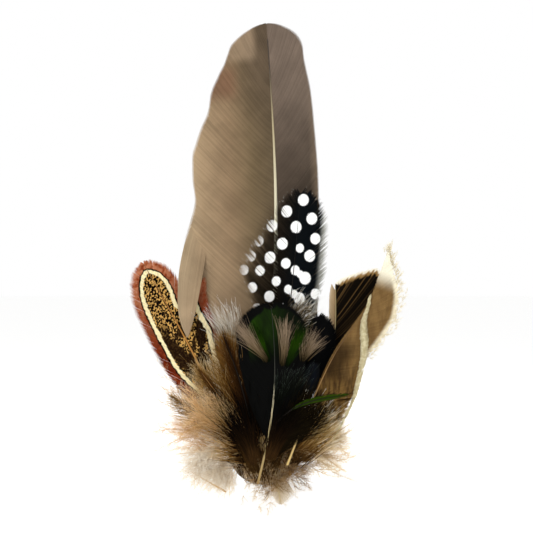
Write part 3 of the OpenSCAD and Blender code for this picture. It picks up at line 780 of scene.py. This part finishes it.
def curled_feather():
    def swing(along):
        return 3.0 * np.exp(-((along - 57) / 13) ** 2)

    quill = read_quill("curled_feather_quill")
    spine = bowed(quill, swing)
    web = keratin("curled_keratin", paint_curled)
    outline = curve_through(CURLED_RIGHT)
    outline[:, 1] = np.maximum(outline[:, 1] - swing(outline[:, 0]), 0.2)
    right = barbs(spine, 1, outline, (4, 74), 0.33, seed=55, sweep=(0.75, 2.5), arch=1.2, cup=2.6, points=22,
                  cover=(1.6, 1.9), fringe=0.1, lock=(3, 0.015), ragged=0.7, ripple=0.3)
    left = barbs(spine, -1, bell(12, 73, 0.8, 0.5, 2), (12, 72), 0.4, seed=56, sweep=(2.0, 2.5), cup=0.3,
                 points=8, cover=(1.2, 0.9), fringe=0.3, lock=(3, 0.05), ragged=0.3)
    strands("curled_web", [right, left], web, ["curled_feather_vane"])
    horn = bowed(quill, swing, lambda along: 3.4 * np.clip(1 - along / 26, 0, 1))
    shaft("curled_shaft", horn, TAN_HORN, ["curled_feather_quill"], slim=0.5, taper=2.2)
    curled_roll(spine)
    rim = outline[(outline[:, 0] > 44) & (outline[:, 0] < 75)][::2]
    at = spine.place(rim[:, 0], rim[:, 1] - 0.1, np.full(len(rim), -1.6))
    fringe = []
    for k, (x, y, z) in enumerate(at):
        share = k / len(rim)
        fringe.append(fan(4, (x, z), 0.7, (-10 + 80 * share, 50 + 60 * share), (0.5, 1.2 + 2.2 * share),
                          (-y, -y + 0.6), 0.1, (0.4, 1), 110 + k))
    tip_down = keratin("cream_tip_down", paint_down("#e6dabd", "#f1ead4", "#fbf8ec"), roughness=0.7, tint=0.1)
    down("curled_fringe", fringe, tip_down, hair=1.3, pitch=0.2, radius=0.04)


def curled_roll(spine):
    """Fold of the curled feather: its barbs turn over and show their pale underside."""
    line = curve_through(ROLL_LINE)
    count, points = 210, 9
    rng = np.random.default_rng(57)
    share = np.linspace(0, 1, count)
    index = np.linspace(0, len(line) - 1, count)
    along = np.interp(index, np.arange(len(line)), line[:, 0])
    across = np.interp(index, np.arange(len(line)), line[:, 1])
    wide = 0.55 * np.sin(np.pi * np.clip(share * 0.94 + 0.04, 0, 1)) ** 0.7
    turn = np.linspace(-0.1, 1.1, points)[None, :] * np.pi
    over = -np.cos(turn)
    place = spine.place(along[:, None] + 1.2 * over + rng.normal(0, 0.15, count)[:, None],
                        across[:, None] + wide[:, None] * over + rng.normal(0, 0.1, count)[:, None],
                        0.4 + 1.1 * np.sin(turn) * wide[:, None])
    ones = np.ones((count, points))
    facing = spine.read(spine.front, along[:, None] * ones) * np.sin(turn)[..., None] \
        + spine.read(spine.side, along[:, None] * ones) * over[..., None]
    batch = {"place": place, "facing": facing, "half_width": 0.22 * ones, "along": along[:, None] * ones,
             "tip": (turn / np.pi) * ones, "tint": rng.uniform(0, 1, count)[:, None] * ones}
    strands("curled_fold", [batch], keratin("fold_keratin", paint_fold, roughness=0.6, tint=0.12))


# ---- Brown body feathers --------------------------------------------------------------


def body_feathers():
    long_barbs = {"sweep": (2.2, 3.0), "arch": 1.1, "cover": (0.9, 0.5), "fringe": 0.5, "lock": (2.5, 0.25),
                  "ragged": 1.5, "loose": 0.8, "points": 14, "pitch": 0.2, "finest": 0.07, "cup": 0.5}
    # Dark brown barbs that turn golden, with pale ends.
    hackle = keratin("golden_hackle_keratin", [(0.0, "#140b03"), (0.35, "#4a3014"), (0.7, "#7c5c2e"),
                                               (0.9, "#9a7a4a"), (1.0, "#e4d8c0")], roughness=0.5, tint=0.5)
    small_vane("golden_hackle", hackle, "golden_vane", (8, 0.65, 2), (6, 0.65, 2), 5, 61, **long_barbs)
    # Dark brown at the quill, fading to fawn ends.
    brown = keratin("brown_keratin", [(0.0, "#2a1a0c"), (0.35, "#6a4c26"), (0.7, "#a88a5a"), (1.0, "#e0cca6")],
                    tint=0.45)
    small_vane("brown_left", brown, "golden_vane", (7, 0.6, 2), (7, 0.6, 2), 4, 64, GOLD_HORN, **long_barbs)
    small_vane("fawn_left", brown, "fawn_vane", (6.4, 0.6, 2), (4.6, 0.6, 2), 4, 67, GOLD_HORN, **long_barbs)
    # Dark olive brown with lighter ends.
    olive = keratin("olive_keratin", [(0.0, "#0a0703"), (0.5, "#221a0c"), (0.85, "#4a3c20"), (1.0, "#8a7448")],
                    roughness=0.5, tint=0.5)
    small_vane("olive_right", olive, "olive_vane", (6, 0.6, 2.2), (6, 0.5, 2.2), 2, 71, **long_barbs)
    # Olive brown that turns to a cream fringe.
    cream = keratin("cream_edged_keratin", [(0.0, "#4a3a1e"), (0.45, "#947848"), (0.75, "#ccb388"),
                                            (1.0, "#f2e9d4")], tint=0.4)
    small_vane("cream_right", cream, "fawn_vane", (6, 0.6, 2), (7, 0.6, 2), 3, 74, PALE_HORN, **long_barbs)
    # Thin and pale, so the light looks as if it came through.
    pale = keratin("pale_keratin", [(0.0, "#cbb898"), (1.0, "#e8dece")], roughness=0.5, tint=0.2)
    small_vane("pale_feather", pale, "fawn_vane", (8, 0.35, 1.3), (2.5, 0.5, 2), 0.5, 77, PALE_HORN, points=12,
               sweep=(1.6, 2.2), cover=(1.1, 0.9), fringe=0.2, lock=(2, 0.1), ragged=0.3)


# ---- Down -----------------------------------------------------------------------------


def plume_tree():
    """Geometry nodes that set fine curved hairs all round the stalk of each plume."""
    tree = bpy.data.node_groups.new("plumes", "GeometryNodeTree")
    given = given_sockets(tree, {"Hair length": "Float", "Hair pitch": "Float", "Hair radius": "Float",
                                 "Stray": "Float", "Seed": "Int"})
    seed, radius = given["Seed"], given["Hair radius"]
    tip = add(tree, "GeometryNodeInputNamedAttribute", {"Name": "tip"}, "Attribute", data_type="FLOAT")
    stalks = add(tree, "GeometryNodeMeshToCurve", {"Mesh": given["Geometry"]}, 0)
    stations = add(tree, "GeometryNodeCurveToPoints", {"Curve": stalks, "Length": given["Hair pitch"]},
                   mode="LENGTH").outputs
    hair = add(tree, "GeometryNodeCurveQuadraticBezier", {"Resolution": 4, "Start": (0, 0, 0),
               "Middle": (0.55, 0, 0.25), "End": (0.8, 0, 0.75)}, 0)
    angle = add(tree, "FunctionNodeRandomValue", {3: 2 * np.pi, "Seed": seed}, 1, data_type="FLOAT")
    spin = add(tree, "FunctionNodeAxisAngleToRotation", {"Axis": (0, 0, 1), "Angle": angle}, 0)
    turned = add(tree, "FunctionNodeRotateRotation", {"Rotation": stations["Rotation"], "Rotate By": spin}, 0,
                 rotation_space="LOCAL")
    size = add(tree, "FunctionNodeRandomValue", {2: 0.45, 3: 1.15, "Seed": seed}, 1, data_type="FLOAT")
    narrowed = ("MULTIPLY", size, ("POWER", ("SUBTRACT", 1.05, tip), 0.6))
    hairs = add(tree, "GeometryNodeInstanceOnPoints", {"Points": stations["Points"], "Instance": hair,
                "Rotation": turned, "Scale": ("MULTIPLY", narrowed, given["Hair length"])}, 0)
    real = add(tree, "GeometryNodeRealizeInstances", {"Geometry": hairs}, 0)
    share = add(tree, "GeometryNodeSplineParameter", out="Factor")
    noise = add(tree, "ShaderNodeTexNoise", {"Scale": 260.0, "Detail": 1.0}, "Color")
    centred = add(tree, "ShaderNodeVectorMath", {0: noise, 1: (0.5, 0.5, 0.5)}, 0, operation="SUBTRACT")
    stray = add(tree, "ShaderNodeVectorMath", {0: centred, "Scale": ("MULTIPLY", share, given["Stray"])}, 0,
                operation="SCALE")
    moved = add(tree, "GeometryNodeSetPosition", {"Geometry": real, "Offset": stray}, 0)
    marked = add(tree, "GeometryNodeStoreNamedAttribute", {"Geometry": moved, "Name": "hair", "Value": share},
                 0, data_type="FLOAT", domain="POINT")
    ring = add(tree, "GeometryNodeCurvePrimitiveCircle", {"Resolution": 3, "Radius": 1.0}, "Curve")
    both = add(tree, "GeometryNodeJoinGeometry")
    for line, thick in ((marked, ("SUBTRACT", 1.15, share)),
                        (stalks, ("SUBTRACT", 2.6, ("MULTIPLY", tip, 2.0)))):
        skin = add(tree, "GeometryNodeCurveToMesh", {"Curve": line, "Profile Curve": ring, "Fill Caps": True,
                   "Scale": ("MULTIPLY", radius, thick)}, 0)
        tree.links.new(skin, both.inputs[0])
    close_tree(tree, both.outputs[0], given)
    return tree


PLUMES = plume_tree()


def fan(count, centre, spot, angles, lengths, depths, droop, shade, seed):
    """Stalks of plumes that spread from one place: angles are degrees from +X, and depths are along -Y."""
    rng = np.random.default_rng(seed)
    points = 9
    u = np.linspace(0, 1, points)[None, :]
    pick = rng.permutation(np.linspace(0, 1, count))
    angle = np.radians(angles[0] + (angles[1] - angles[0]) * pick + rng.normal(0, 3, count))[:, None]
    length = rng.uniform(*lengths, count)[:, None]
    bend = rng.normal(droop, 0.25, count)[:, None]
    heading = angle + bend * u**1.5
    run = length / (points - 1)
    x = centre[0] + spot * rng.normal(0, 1, count)[:, None] + np.cumsum(np.cos(heading) * run, axis=1)
    z = centre[1] + spot * rng.normal(0, 1, count)[:, None] + np.cumsum(np.sin(heading) * run, axis=1)
    depth = depths[0] + (depths[1] - depths[0]) * rng.uniform(0, 1, count)[:, None] * u**0.8
    y = -depth + rng.normal(0, 0.4, count)[:, None]
    y = np.minimum(y + 1.2 * rng.normal(0, 1, count)[:, None] * u**2, -0.8)
    ones = np.ones((count, points))
    tint = rng.uniform(*shade, count)[:, None] * ones
    return {"place": np.stack([x * ones, y * ones, z * ones], axis=-1), "tip": u * ones, "tint": tint,
            "half_width": 0.1 * ones, "facing": np.tile(FORWARD, (count, points, 1))}


def wisps(count, centre, spot, angles, lengths, depths, droop, seed, half=0.09, tuft=7, loose=0.8):
    """Free barbs that fan out from one place in tufts: angles are degrees from +X, and depths are along -Y."""
    rng = np.random.default_rng(seed)
    points = 12
    u = np.linspace(0, 1, points)[None, :]
    group = rng.integers(0, max(count // tuft, 1), count)
    shared = rng.uniform(0, 1, (group.max() + 1, 4))[group]
    angle = np.radians(angles[0] + (angles[1] - angles[0]) * shared[:, :1] + rng.normal(0, 4.0, (count, 1)))
    length = (lengths[0] + (lengths[1] - lengths[0]) * shared[:, 1:2]) * rng.uniform(0.7, 1.05, (count, 1))
    bend = droop + 0.5 * (shared[:, 2:3] - 0.5) + rng.normal(0, 0.12, (count, 1))
    heading = angle + bend * u**1.4
    run = length / (points - 1)
    x = centre[0] + spot * rng.normal(0, 1, (count, 1)) + np.cumsum(np.cos(heading) * run, axis=1)
    z = centre[1] + spot * rng.normal(0, 1, (count, 1)) + np.cumsum(np.sin(heading) * run, axis=1)
    depth = depths[0] + (depths[1] - depths[0]) * (0.7 * shared[:, 3:4] + 0.3 * rng.uniform(0, 1, (count, 1)))
    y = -depth + loose * rng.normal(0, 1, (count, 1)) * u**1.5
    ones = np.ones((count, points))
    return {"place": np.stack([x, y * ones, z], axis=-1), "tip": u * ones, "facing": FORWARD * ones[..., None],
            "tint": rng.uniform(0, 1, (count, 1)) * ones, "half_width": half * np.clip(1.15 - u, 0.1, 1) * ones}


def paint_down(stalk, middle, end):
    """Soft down: darker at the stalk, paler at the ends of its hairs."""
    def paint(tree):
        out = ("ADD", ("MULTIPLY", "@hair", 0.45), ("MULTIPLY", "@tip", 0.55))
        return add(tree, "ShaderNodeValToRGB", {"Fac": out}, "Color",
                   [(0.0, stalk), (0.45, middle), (1.0, end)])
    return paint


def down(name, stalks, material, nodes=(), hair=4.0, pitch=0.2, radius=0.042, stray=2.5):
    """One piece of plumes, whose hairs have this length, pitch and radius in millimetres."""
    inputs = {"Hair length": hair * MM, "Hair pitch": pitch * MM, "Hair radius": radius * MM,
              "Stray": stray * MM, "Seed": 1}
    settled(grown(name, lines_mesh(name, stalks), PLUMES, inputs, material), nodes)


def loose_barbs(name, slot, stuff, stops, *tufts, tint=0.6):
    """One piece of loose barbs in tufts, with its own keratin."""
    strands(name, tufts, keratin(stuff, stops, tint=tint))


def base_barbs():
    """Loose barbs at the feet of the body feathers, which hide the glue; the darkest of them are painted shade.
    """
    loose_barbs("base_barbs_left", "golden_vane", "base_brown_keratin",
                [(0.0, "#080401"), (0.3, "#2f1c0a"), (0.65, "#8f6c3c"), (1.0, "#dfc696")],
                wisps(520, (-4, -1), 1.8, (122, 150), (11, 22), (9.2, 11.5), 0.1, 91),
                wisps(260, (-6, -4), 1.6, (150, 185), (6, 11), (9, 11.5), 0.1, 92))
    loose_barbs("base_barbs_gold", "golden_vane", "base_gold_keratin",
                [(0.0, "#0c0602"), (0.35, "#2a1a0a"), (0.7, "#5e4420"), (0.92, "#8a6c3e"), (1.0, "#cdb88e")],
                wisps(420, (-6.5, 8), 1.8, (96, 124), (14, 24), (9.2, 11.2), 0.05, 95))
    # Painted shade: barb ends that turn near black fill the shaded middle of the spray.
    loose_barbs("base_barbs_centre", "olive_vane", "base_painted_shade_keratin",
                [(0.0, "#4f3a1c"), (0.3, "#3c2a12"), (0.55, "#140c04"), (1.0, "#020100")],
                wisps(560, (-1, -8), 2.4, (58, 132), (11, 32), (11.0, 12.0), 0.0, 93, half=0.14),
                wisps(9, (22.5, 13.4), 0.4, (-25, 25), (4, 7), (14.6, 15.2), 0.0, 107, loose=0.2))
    # Painted shade: barbs that darken to near black towards their ends, in the shaded middle of the spray.
    loose_barbs("base_barbs_front", "olive_vane", "front_painted_shade_keratin",
                [(0.0, "#46321a"), (0.35, "#2a1c0c"), (0.7, "#120b05"), (1.0, "#050301")],
                wisps(190, (-3.2, -6), 0.9, (94, 122), (12, 23), (14.0, 15.0), 0.15, 112, half=0.1),
                wisps(150, (1.4, -5), 0.8, (58, 84), (10, 22), (14.0, 15.0), -0.1, 113, half=0.1))
    loose_barbs("base_barbs_right", "olive_vane", "base_olive_keratin",
                [(0.0, "#241a0a"), (0.4, "#2a2110"), (0.8, "#151007"), (1.0, "#3a3018")],
                wisps(420, (2.2, -1.5), 1.2, (28, 66), (12, 25), (11.6, 13.0), -0.1, 94, half=0.13),
                wisps(160, (8.5, 3), 1.2, (56, 74), (8, 17), (9.8, 10.6), 0.0, 106, half=0.13))
    loose_barbs("tawny_barbs_right", "fawn_vane", "base_tawny_keratin",
                [(0.0, "#3a2812"), (0.4, "#6e522a"), (0.75, "#a88a58"), (1.0, "#d8c294")],
                wisps(300, (9.5, -5), 1.5, (36, 58), (12, 20), (9.6, 11.2), 0.0, 111, half=0.14))
    loose_barbs("edged_barbs_right", "fawn_vane", "base_edged_keratin",
                [(0.0, "#5a4424"), (0.4, "#ac8e62"), (0.7, "#decba6"), (1.0, "#fbf7ea")],
                wisps(520, (9, -3), 2.2, (16, 60), (9, 19), (8.2, 10.4), 0.0, 96, half=0.13))
    loose_barbs("beige_bands", "down", "beige_keratin", [(0.0, "#2a2410"), (0.35, "#76664e"), (1.0, "#b09c86")],
                wisps(130, (1, 25.5), 0.35, (125, 133), (10, 18), (14.8, 15.8), 0.0, 97, loose=0.3, half=0.08),
                wisps(80, (5.3, 23.8), 0.3, (79, 87), (12, 18), (14.6, 15.6), 0.0, 98, loose=0.3, half=0.08),
                wisps(220, (11.8, 26.0), 0.6, (48, 100), (5, 11), (11, 13), -0.1, 99, half=0.07), tint=0.5)
    loose_barbs("green_strips", "green_vane", "green_strip_keratin",
                [(0.0, "#0c1600"), (0.6, "#2c4804"), (0.85, "#1a2c02"), (1.0, "#050704")],
                wisps(60, (6.6, 23.8), 0.3, (64, 71), (13, 16), (15.0, 15.6), 0.0, 100, half=0.14, loose=0.2),
                wisps(50, (1.8, 25.5), 0.3, (116, 121), (10, 14), (14.6, 15.0), 0.0, 101, half=0.14, loose=0.2))
    loose_barbs("dark_hairs", "olive_vane", "dark_hair_keratin",
                [(0.0, "#0a0c06"), (0.5, "#161a12"), (0.8, "#2c342a"), (1.0, "#6a726a")],
                wisps(60, (6.5, 15), 1.6, (40, 78), (7, 13), (14.2, 15.2), 0.1, 114, half=0.06, tuft=4),
                wisps(40, (3.6, 12), 1.0, (62, 88), (6, 12), (14.2, 15.2), 0.1, 115, half=0.06, tuft=4))
    loose_barbs("frayed_barbs", "down", "frayed_keratin",
                [(0.0, "#3a3020"), (0.4, "#8a7c66"), (0.7, "#d8d0c0"), (1.0, "#fdfcf8")],
                wisps(130, (-8, 31), 1.8, (92, 140), (7, 16), (7.2, 9.0), 0.0, 102, half=0.07),
                wisps(130, (-10.5, 29), 1.6, (80, 128), (7, 15), (9.2, 10.6), 0.1, 108, half=0.07),
                wisps(110, (9.5, 39.5), 2.2, (0, 70), (4, 8), (9.5, 11), 0.0, 103, half=0.07), tint=0.4)
    # Painted light: this barb's colour is made paler to make up for the shade it lies in.
    loose_barbs("stray_barb", "down", "stray_painted_light_keratin", [(0.0, "#c2a67e"), (1.0, "#e2cca8")],
                wisps(1, (-11.5, -17.5), 0.05, (151, 151), (17, 17), (5, 5), 0.2, 105, half=0.3, loose=0.0))


def down_clouds():
    fawn = keratin("fawn_down", paint_down("#be945c", "#e6c490", "#f6ead4"), 0.75, 0.3, tint=0.35)
    pale = keratin("pale_down", paint_down("#dcc6a4", "#f4ead8", "#fdfaf4"), 0.8, 0.3, tint=0.15)
    brown = keratin("brown_down", paint_down("#705230", "#ac8e62", "#dcc8a6"), 0.75, 0.2, tint=0.6)
    cream = keratin("cream_down", paint_down("#c0a26c", "#ead6ae", "#fdf8ea"), 0.75, 0.3, tint=0.2)
    down("down_left_plumes", [
        fan(44, (-16, 3), 3.2, (130, 200), (7, 17), (8, 11.5), 0.2, (0.2, 1), 81),
        fan(26, (-13, 6), 2.4, (126, 150), (8, 15), (9.6, 12), 0.1, (0.0, 0.8), 88),
        fan(26, (-16, 7), 2.4, (128, 150), (12, 21), (3.5, 5.5), 0.1, (0.0, 0.8), 116)],
        fawn, ["down_left"], hair=5.5, pitch=0.24, stray=3.5)
    down("down_left_low_plumes", [
        fan(74, (-15, -5.5), 2.8, (176, 262), (5, 13), (3.0, 7.5), 0.1, (0.3, 1), 82),
        fan(22, (-12, -1), 2.0, (165, 215), (6, 13), (7, 10), 0.1, (0.3, 1), 89),
        fan(34, (-11.8, -10.5), 1.2, (200, 275), (3, 9), (1.2, 3), 0.1, (0.4, 1), 90)],
        pale, ["down_left_low"], hair=5.5, pitch=0.23, radius=0.045, stray=3.5)
    down("down_bottom_plumes", [
        fan(90, (2, -9), 3.4, (170, 370), (1.5, 5.5), (9.4, 11.8), 0.0, (0, 1), 83),
        fan(40, (8, -8.5), 1.8, (-70, 30), (2, 7), (7, 9), 0.0, (0.2, 1), 109)],
        brown, ["down_bottom"], pitch=0.16, radius=0.036, stray=3.5)
    down("down_bottom_pale_plumes", [
        fan(60, (1, -13), 3.6, (225, 345), (2, 5.5), (4.5, 6.5), 0.0, (0.3, 1), 87)], pale, pitch=0.16)
    down("down_right_plumes", [fan(80, (15, -2), 3.2, (-60, 45), (4, 11), (6, 9), 0.2, (0.2, 1), 84)],
         cream, ["down_right"], hair=4.5)


wing_feather()
wing_flap()
guinea_feather()
pheasant_feathers()
dark_feathers()
streaked_feather()
curled_feather()
body_feathers()
base_barbs()
down_clouds()


# ---- Pad, glue and pin ----------------------------------------------------------------


def stuff(name, colour, roughness, bump=None, **settings):
    """Material of one stuff: colour is an sRGB hex, or (size in mm, detail, stops) of its mottling.

    bump is the (size, depth) of its unevenness, in millimetres.
    """
    material = blank_material(name)
    tree = material.node_tree
    if not isinstance(colour, str):
        size, detail, stops = colour
        colour = add(tree, "ShaderNodeValToRGB", {"Fac": grain(tree, size, detail)}, "Color", stops)
    inputs = {key.replace("_", " "): value for key, value in settings.items()}
    if bump:
        inputs["Normal"] = add(tree, "ShaderNodeBump", {"Height": grain(tree, bump[0], 4.0),
                               "Distance": bump[1] * MM}, 0)
    surface = add(tree, "ShaderNodeBsdfPrincipled", {"Base Color": colour, "Roughness": roughness, **inputs}, 0)
    add(tree, "ShaderNodeOutputMaterial", {"Surface": surface})
    return material


def finished(name, mesh, material, nodes):
    """Puts a closed mesh in the scene as a piece."""
    turned_out(mesh)
    mesh.materials.clear()
    mesh.materials.append(material)
    mesh.polygons.foreach_set("use_smooth", [True] * len(mesh.polygons))
    made = bpy.data.objects.new(name, mesh)
    bpy.context.scene.collection.objects.link(made)
    settled(made, nodes)


def rounded_copy(node, edge):
    """Copy of a CAD solid whose sharp edges are rounded off by edge millimetres."""
    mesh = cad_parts[node].data.copy()
    work = bmesh.new()
    work.from_mesh(mesh)
    bmesh.ops.remove_doubles(work, verts=work.verts, dist=0.01 * MM)
    bmesh.ops.dissolve_limit(work, angle_limit=np.radians(2), verts=work.verts, edges=work.edges)
    sharp = [e for e in work.edges if e.is_manifold and e.calc_face_angle() > np.radians(35)]
    bmesh.ops.bevel(work, geom=sharp, offset=edge * MM, segments=3, profile=0.5, affect="EDGES",
                    clamp_overlap=True)
    bmesh.ops.triangulate(work, faces=work.faces)
    work.to_mesh(mesh)
    work.free()
    return mesh


def glue_bed():
    """Lump of hot glue: a low dome with soft waves, which ends where the front quills lie."""
    foot_y, crown_y, half_width, half_height = -3.1, -12.05, 9.6, 11.6
    rng = np.random.default_rng(130)
    rings, steps = 16, 48
    r = np.linspace(1, 0.04, rings)[:, None]
    a = np.linspace(0, 2 * np.pi, steps, endpoint=False)[None, :]
    wave = 1 + 0.03 * np.sin(3 * a + 1) + 0.02 * np.sin(7 * a)
    y = foot_y - 8.9 * (1 - r**2.4) ** 0.75 - 0.15 * rng.random((rings, steps)) * (1 - r)
    top = np.stack([half_width * r * wave * np.cos(a), y, half_height * r * wave * np.sin(a)], axis=-1)
    corners = np.vstack([top.reshape(-1, 3), [(0, foot_y, 0), (0, crown_y, 0)]]) * MM
    foot, crown = rings * steps, rings * steps + 1
    faces = [(foot, k, (k + 1) % steps) for k in range(steps)]
    for i in range(rings - 1):
        for k in range(steps):
            n = (k + 1) % steps
            faces.append((i * steps + k, (i + 1) * steps + k, (i + 1) * steps + n, i * steps + n))
    last = (rings - 1) * steps
    faces += [(last + (k + 1) % steps, last + k, crown) for k in range(steps)]
    mesh = bpy.data.meshes.new("hot_glue")
    mesh.from_pydata(corners.tolist(), [], faces)
    work = bmesh.new()
    work.from_mesh(mesh)
    bmesh.ops.recalc_face_normals(work, faces=work.faces)
    work.to_mesh(mesh)
    work.free()
    return mesh


def oval(count, half_width, half_height, shift=0.0):
    """Points spread round an oval, with the direction along it."""
    a = np.linspace(0, 2 * np.pi, count, endpoint=False) + shift
    return half_width * np.cos(a), half_height * np.sin(a), -half_width * np.sin(a), half_height * np.cos(a)


def pad_and_pin():
    # Wool felt: matt, dark brown and flecked, with fuzz at its cut edge. Its fibres are drawn coarser.
    felt = stuff("wool_felt", (0.5, 4.0, [(0.3, "#2c1f14"), (0.7, "#5a4630")]), 0.95, (0.25, 0.12),
                 Specular_IOR_Level=0.1)
    # Grained leather: dark brown, a little glossy, with a fine pebble.
    leather = stuff("brown_leather", (3.0, 4.0, [(0.35, "#38241a"), (0.7, "#4d3426")]), 0.5, (0.5, 0.06))
    # Hot-melt glue: a smooth, cloudy amber lump that light sinks into.
    glue = stuff("hot_glue_amber", "#8a6428", 0.3, Subsurface_Weight=0.4)
    # Waxed linen thread: matt, pale tan, with the twist of its ply.
    linen = stuff("waxed_linen_thread", (0.3, 2.0, [(0.3, "#8f7a56"), (0.7, "#c4ae86")]), 0.6, (0.15, 0.05))
    # Nickel-plated steel: bright, with slight waves left by pressing.
    nickel = stuff("nickel_plate", "#cfccc4", 0.24, (0.3, 0.004), Metallic=1.0)
    # Drawn and polished spring wire: smoother and cooler than the plate.
    wire = stuff("polished_spring_wire", "#bfbfc0", 0.16, Metallic=1.0)
    finished("felt_layer", rounded_copy("felt_pad", 0.5), felt, ["felt_pad"])
    finished("leather_cover", rounded_copy("leather_back", 0.3), leather, ["leather_back"])
    finished("hot_glue", glue_bed(), glue, ["glue_bed"])

    rng = np.random.default_rng(131)
    count = 1500
    x, z, dx, dz = oval(count, 12.5, 15.0)
    run = np.linspace(0, 1, 4)[None, :]
    out = rng.uniform(0.3, 1.0, (count, 1)) * run
    lean = rng.normal(0, 0.5, (count, 1)) * run / np.hypot(dx, dz)[:, None]
    depth = rng.uniform(-3.2, -1.3, (count, 1)) + rng.normal(0, 0.3, (count, 1)) * run
    grow = 1 + (out - 0.15) / np.hypot(x, z)[:, None]
    hairs = np.stack([x[:, None] * grow + lean * dx[:, None], depth, z[:, None] * grow + lean * dz[:, None]],
                     axis=-1)
    ones = np.ones((count, 4))
    fuzz = {"place": hairs, "half_width": 0.03 * ones, "facing": FORWARD * ones[..., None]}
    strands("felt_fuzz", [fuzz], felt)

    count, half_stitch = 46, 0.75
    x, z, dx, dz = oval(count, 11.1, 13.6)
    speed = np.hypot(dx, dz)
    step = np.linspace(-half_stitch, half_stitch, 9)[None, :]
    bulge = 0.16 - 0.42 * np.abs(step / half_stitch) ** 4
    seam = np.stack([x[:, None] + step * (dx / speed)[:, None], bulge * np.ones((count, 1)),
                     z[:, None] + step * (dz / speed)[:, None]], axis=-1)
    ones = np.ones((count, 9))
    stitches = {"place": seam, "half_width": 0.2 * ones, "facing": -FORWARD * ones[..., None]}
    strands("edge_stitches", [stitches], linen, ridge=0.9, sides=10)

    for node, material in (("pin_bar", nickel), ("hinge_rivet", nickel), ("safety_collar", nickel),
                           ("pin_stem", wire), ("bar_stitches", linen)):
        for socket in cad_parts[node].material_slots:
            socket.material = material


pad_and_pin()


# ---- Camera, light and floor ----------------------------------------------------------


def studio():
    """Level camera in front, soft light from the upper left, a pale floor and a white surround."""
    lens, sensor, view_width = 85.0, 36.0, 170.6
    camera = bpy.data.objects.new("camera", bpy.data.cameras.new("camera"))
    bpy.context.scene.collection.objects.link(camera)
    camera.data.lens = lens
    camera.data.sensor_width = sensor
    camera.location = Vector((0.5, -6 - lens * view_width / sensor, 55.5)) * MM
    camera.rotation_euler = (np.pi / 2, 0, 0)
    camera.data.clip_start, camera.data.clip_end = 0.01, 20
    bpy.context.scene.camera = camera

    for name, place, size, watts in (("key", (-260, -420, 420), 300, 1.5), ("fill", (380, -380, 60), 400, 0.4),
                                     ("rim", (120, 420, 320), 300, 0.8)):
        light = bpy.data.objects.new(name, bpy.data.lights.new(name, "AREA"))
        bpy.context.scene.collection.objects.link(light)
        light.data.size = size * MM
        light.data.energy = watts
        light.location = Vector(place) * MM
        light.rotation_euler = (Vector((0, 0, 50)) * MM - light.location).to_track_quat("-Z", "Y").to_euler()

    world = bpy.data.worlds.new("white_surround")
    bpy.context.scene.world = world
    world.use_nodes = True
    tree = world.node_tree
    tree.nodes.clear()
    seen = add(tree, "ShaderNodeLightPath", out="Is Camera Ray")
    strength = ("MULTIPLY_ADD", seen, 0.45, 0.55)
    back = add(tree, "ShaderNodeBackground", {"Color": "#ffffff", "Strength": strength}, 0)
    add(tree, "ShaderNodeOutputWorld", {"Surface": back})

    bpy.ops.mesh.primitive_plane_add(size=6, location=(0, 0, cad_box[0].z - 0.004))
    floor = bpy.context.object
    floor.name = "floor"
    # White paper that glows a little, as under a strong lamp.
    floor.data.materials.append(stuff("white_paper", "#fbfbfa", 0.9, Emission_Color="#ffffff",
                                      Emission_Strength=0.45))
    bpy.context.scene.view_settings.view_transform = "Standard"


studio()
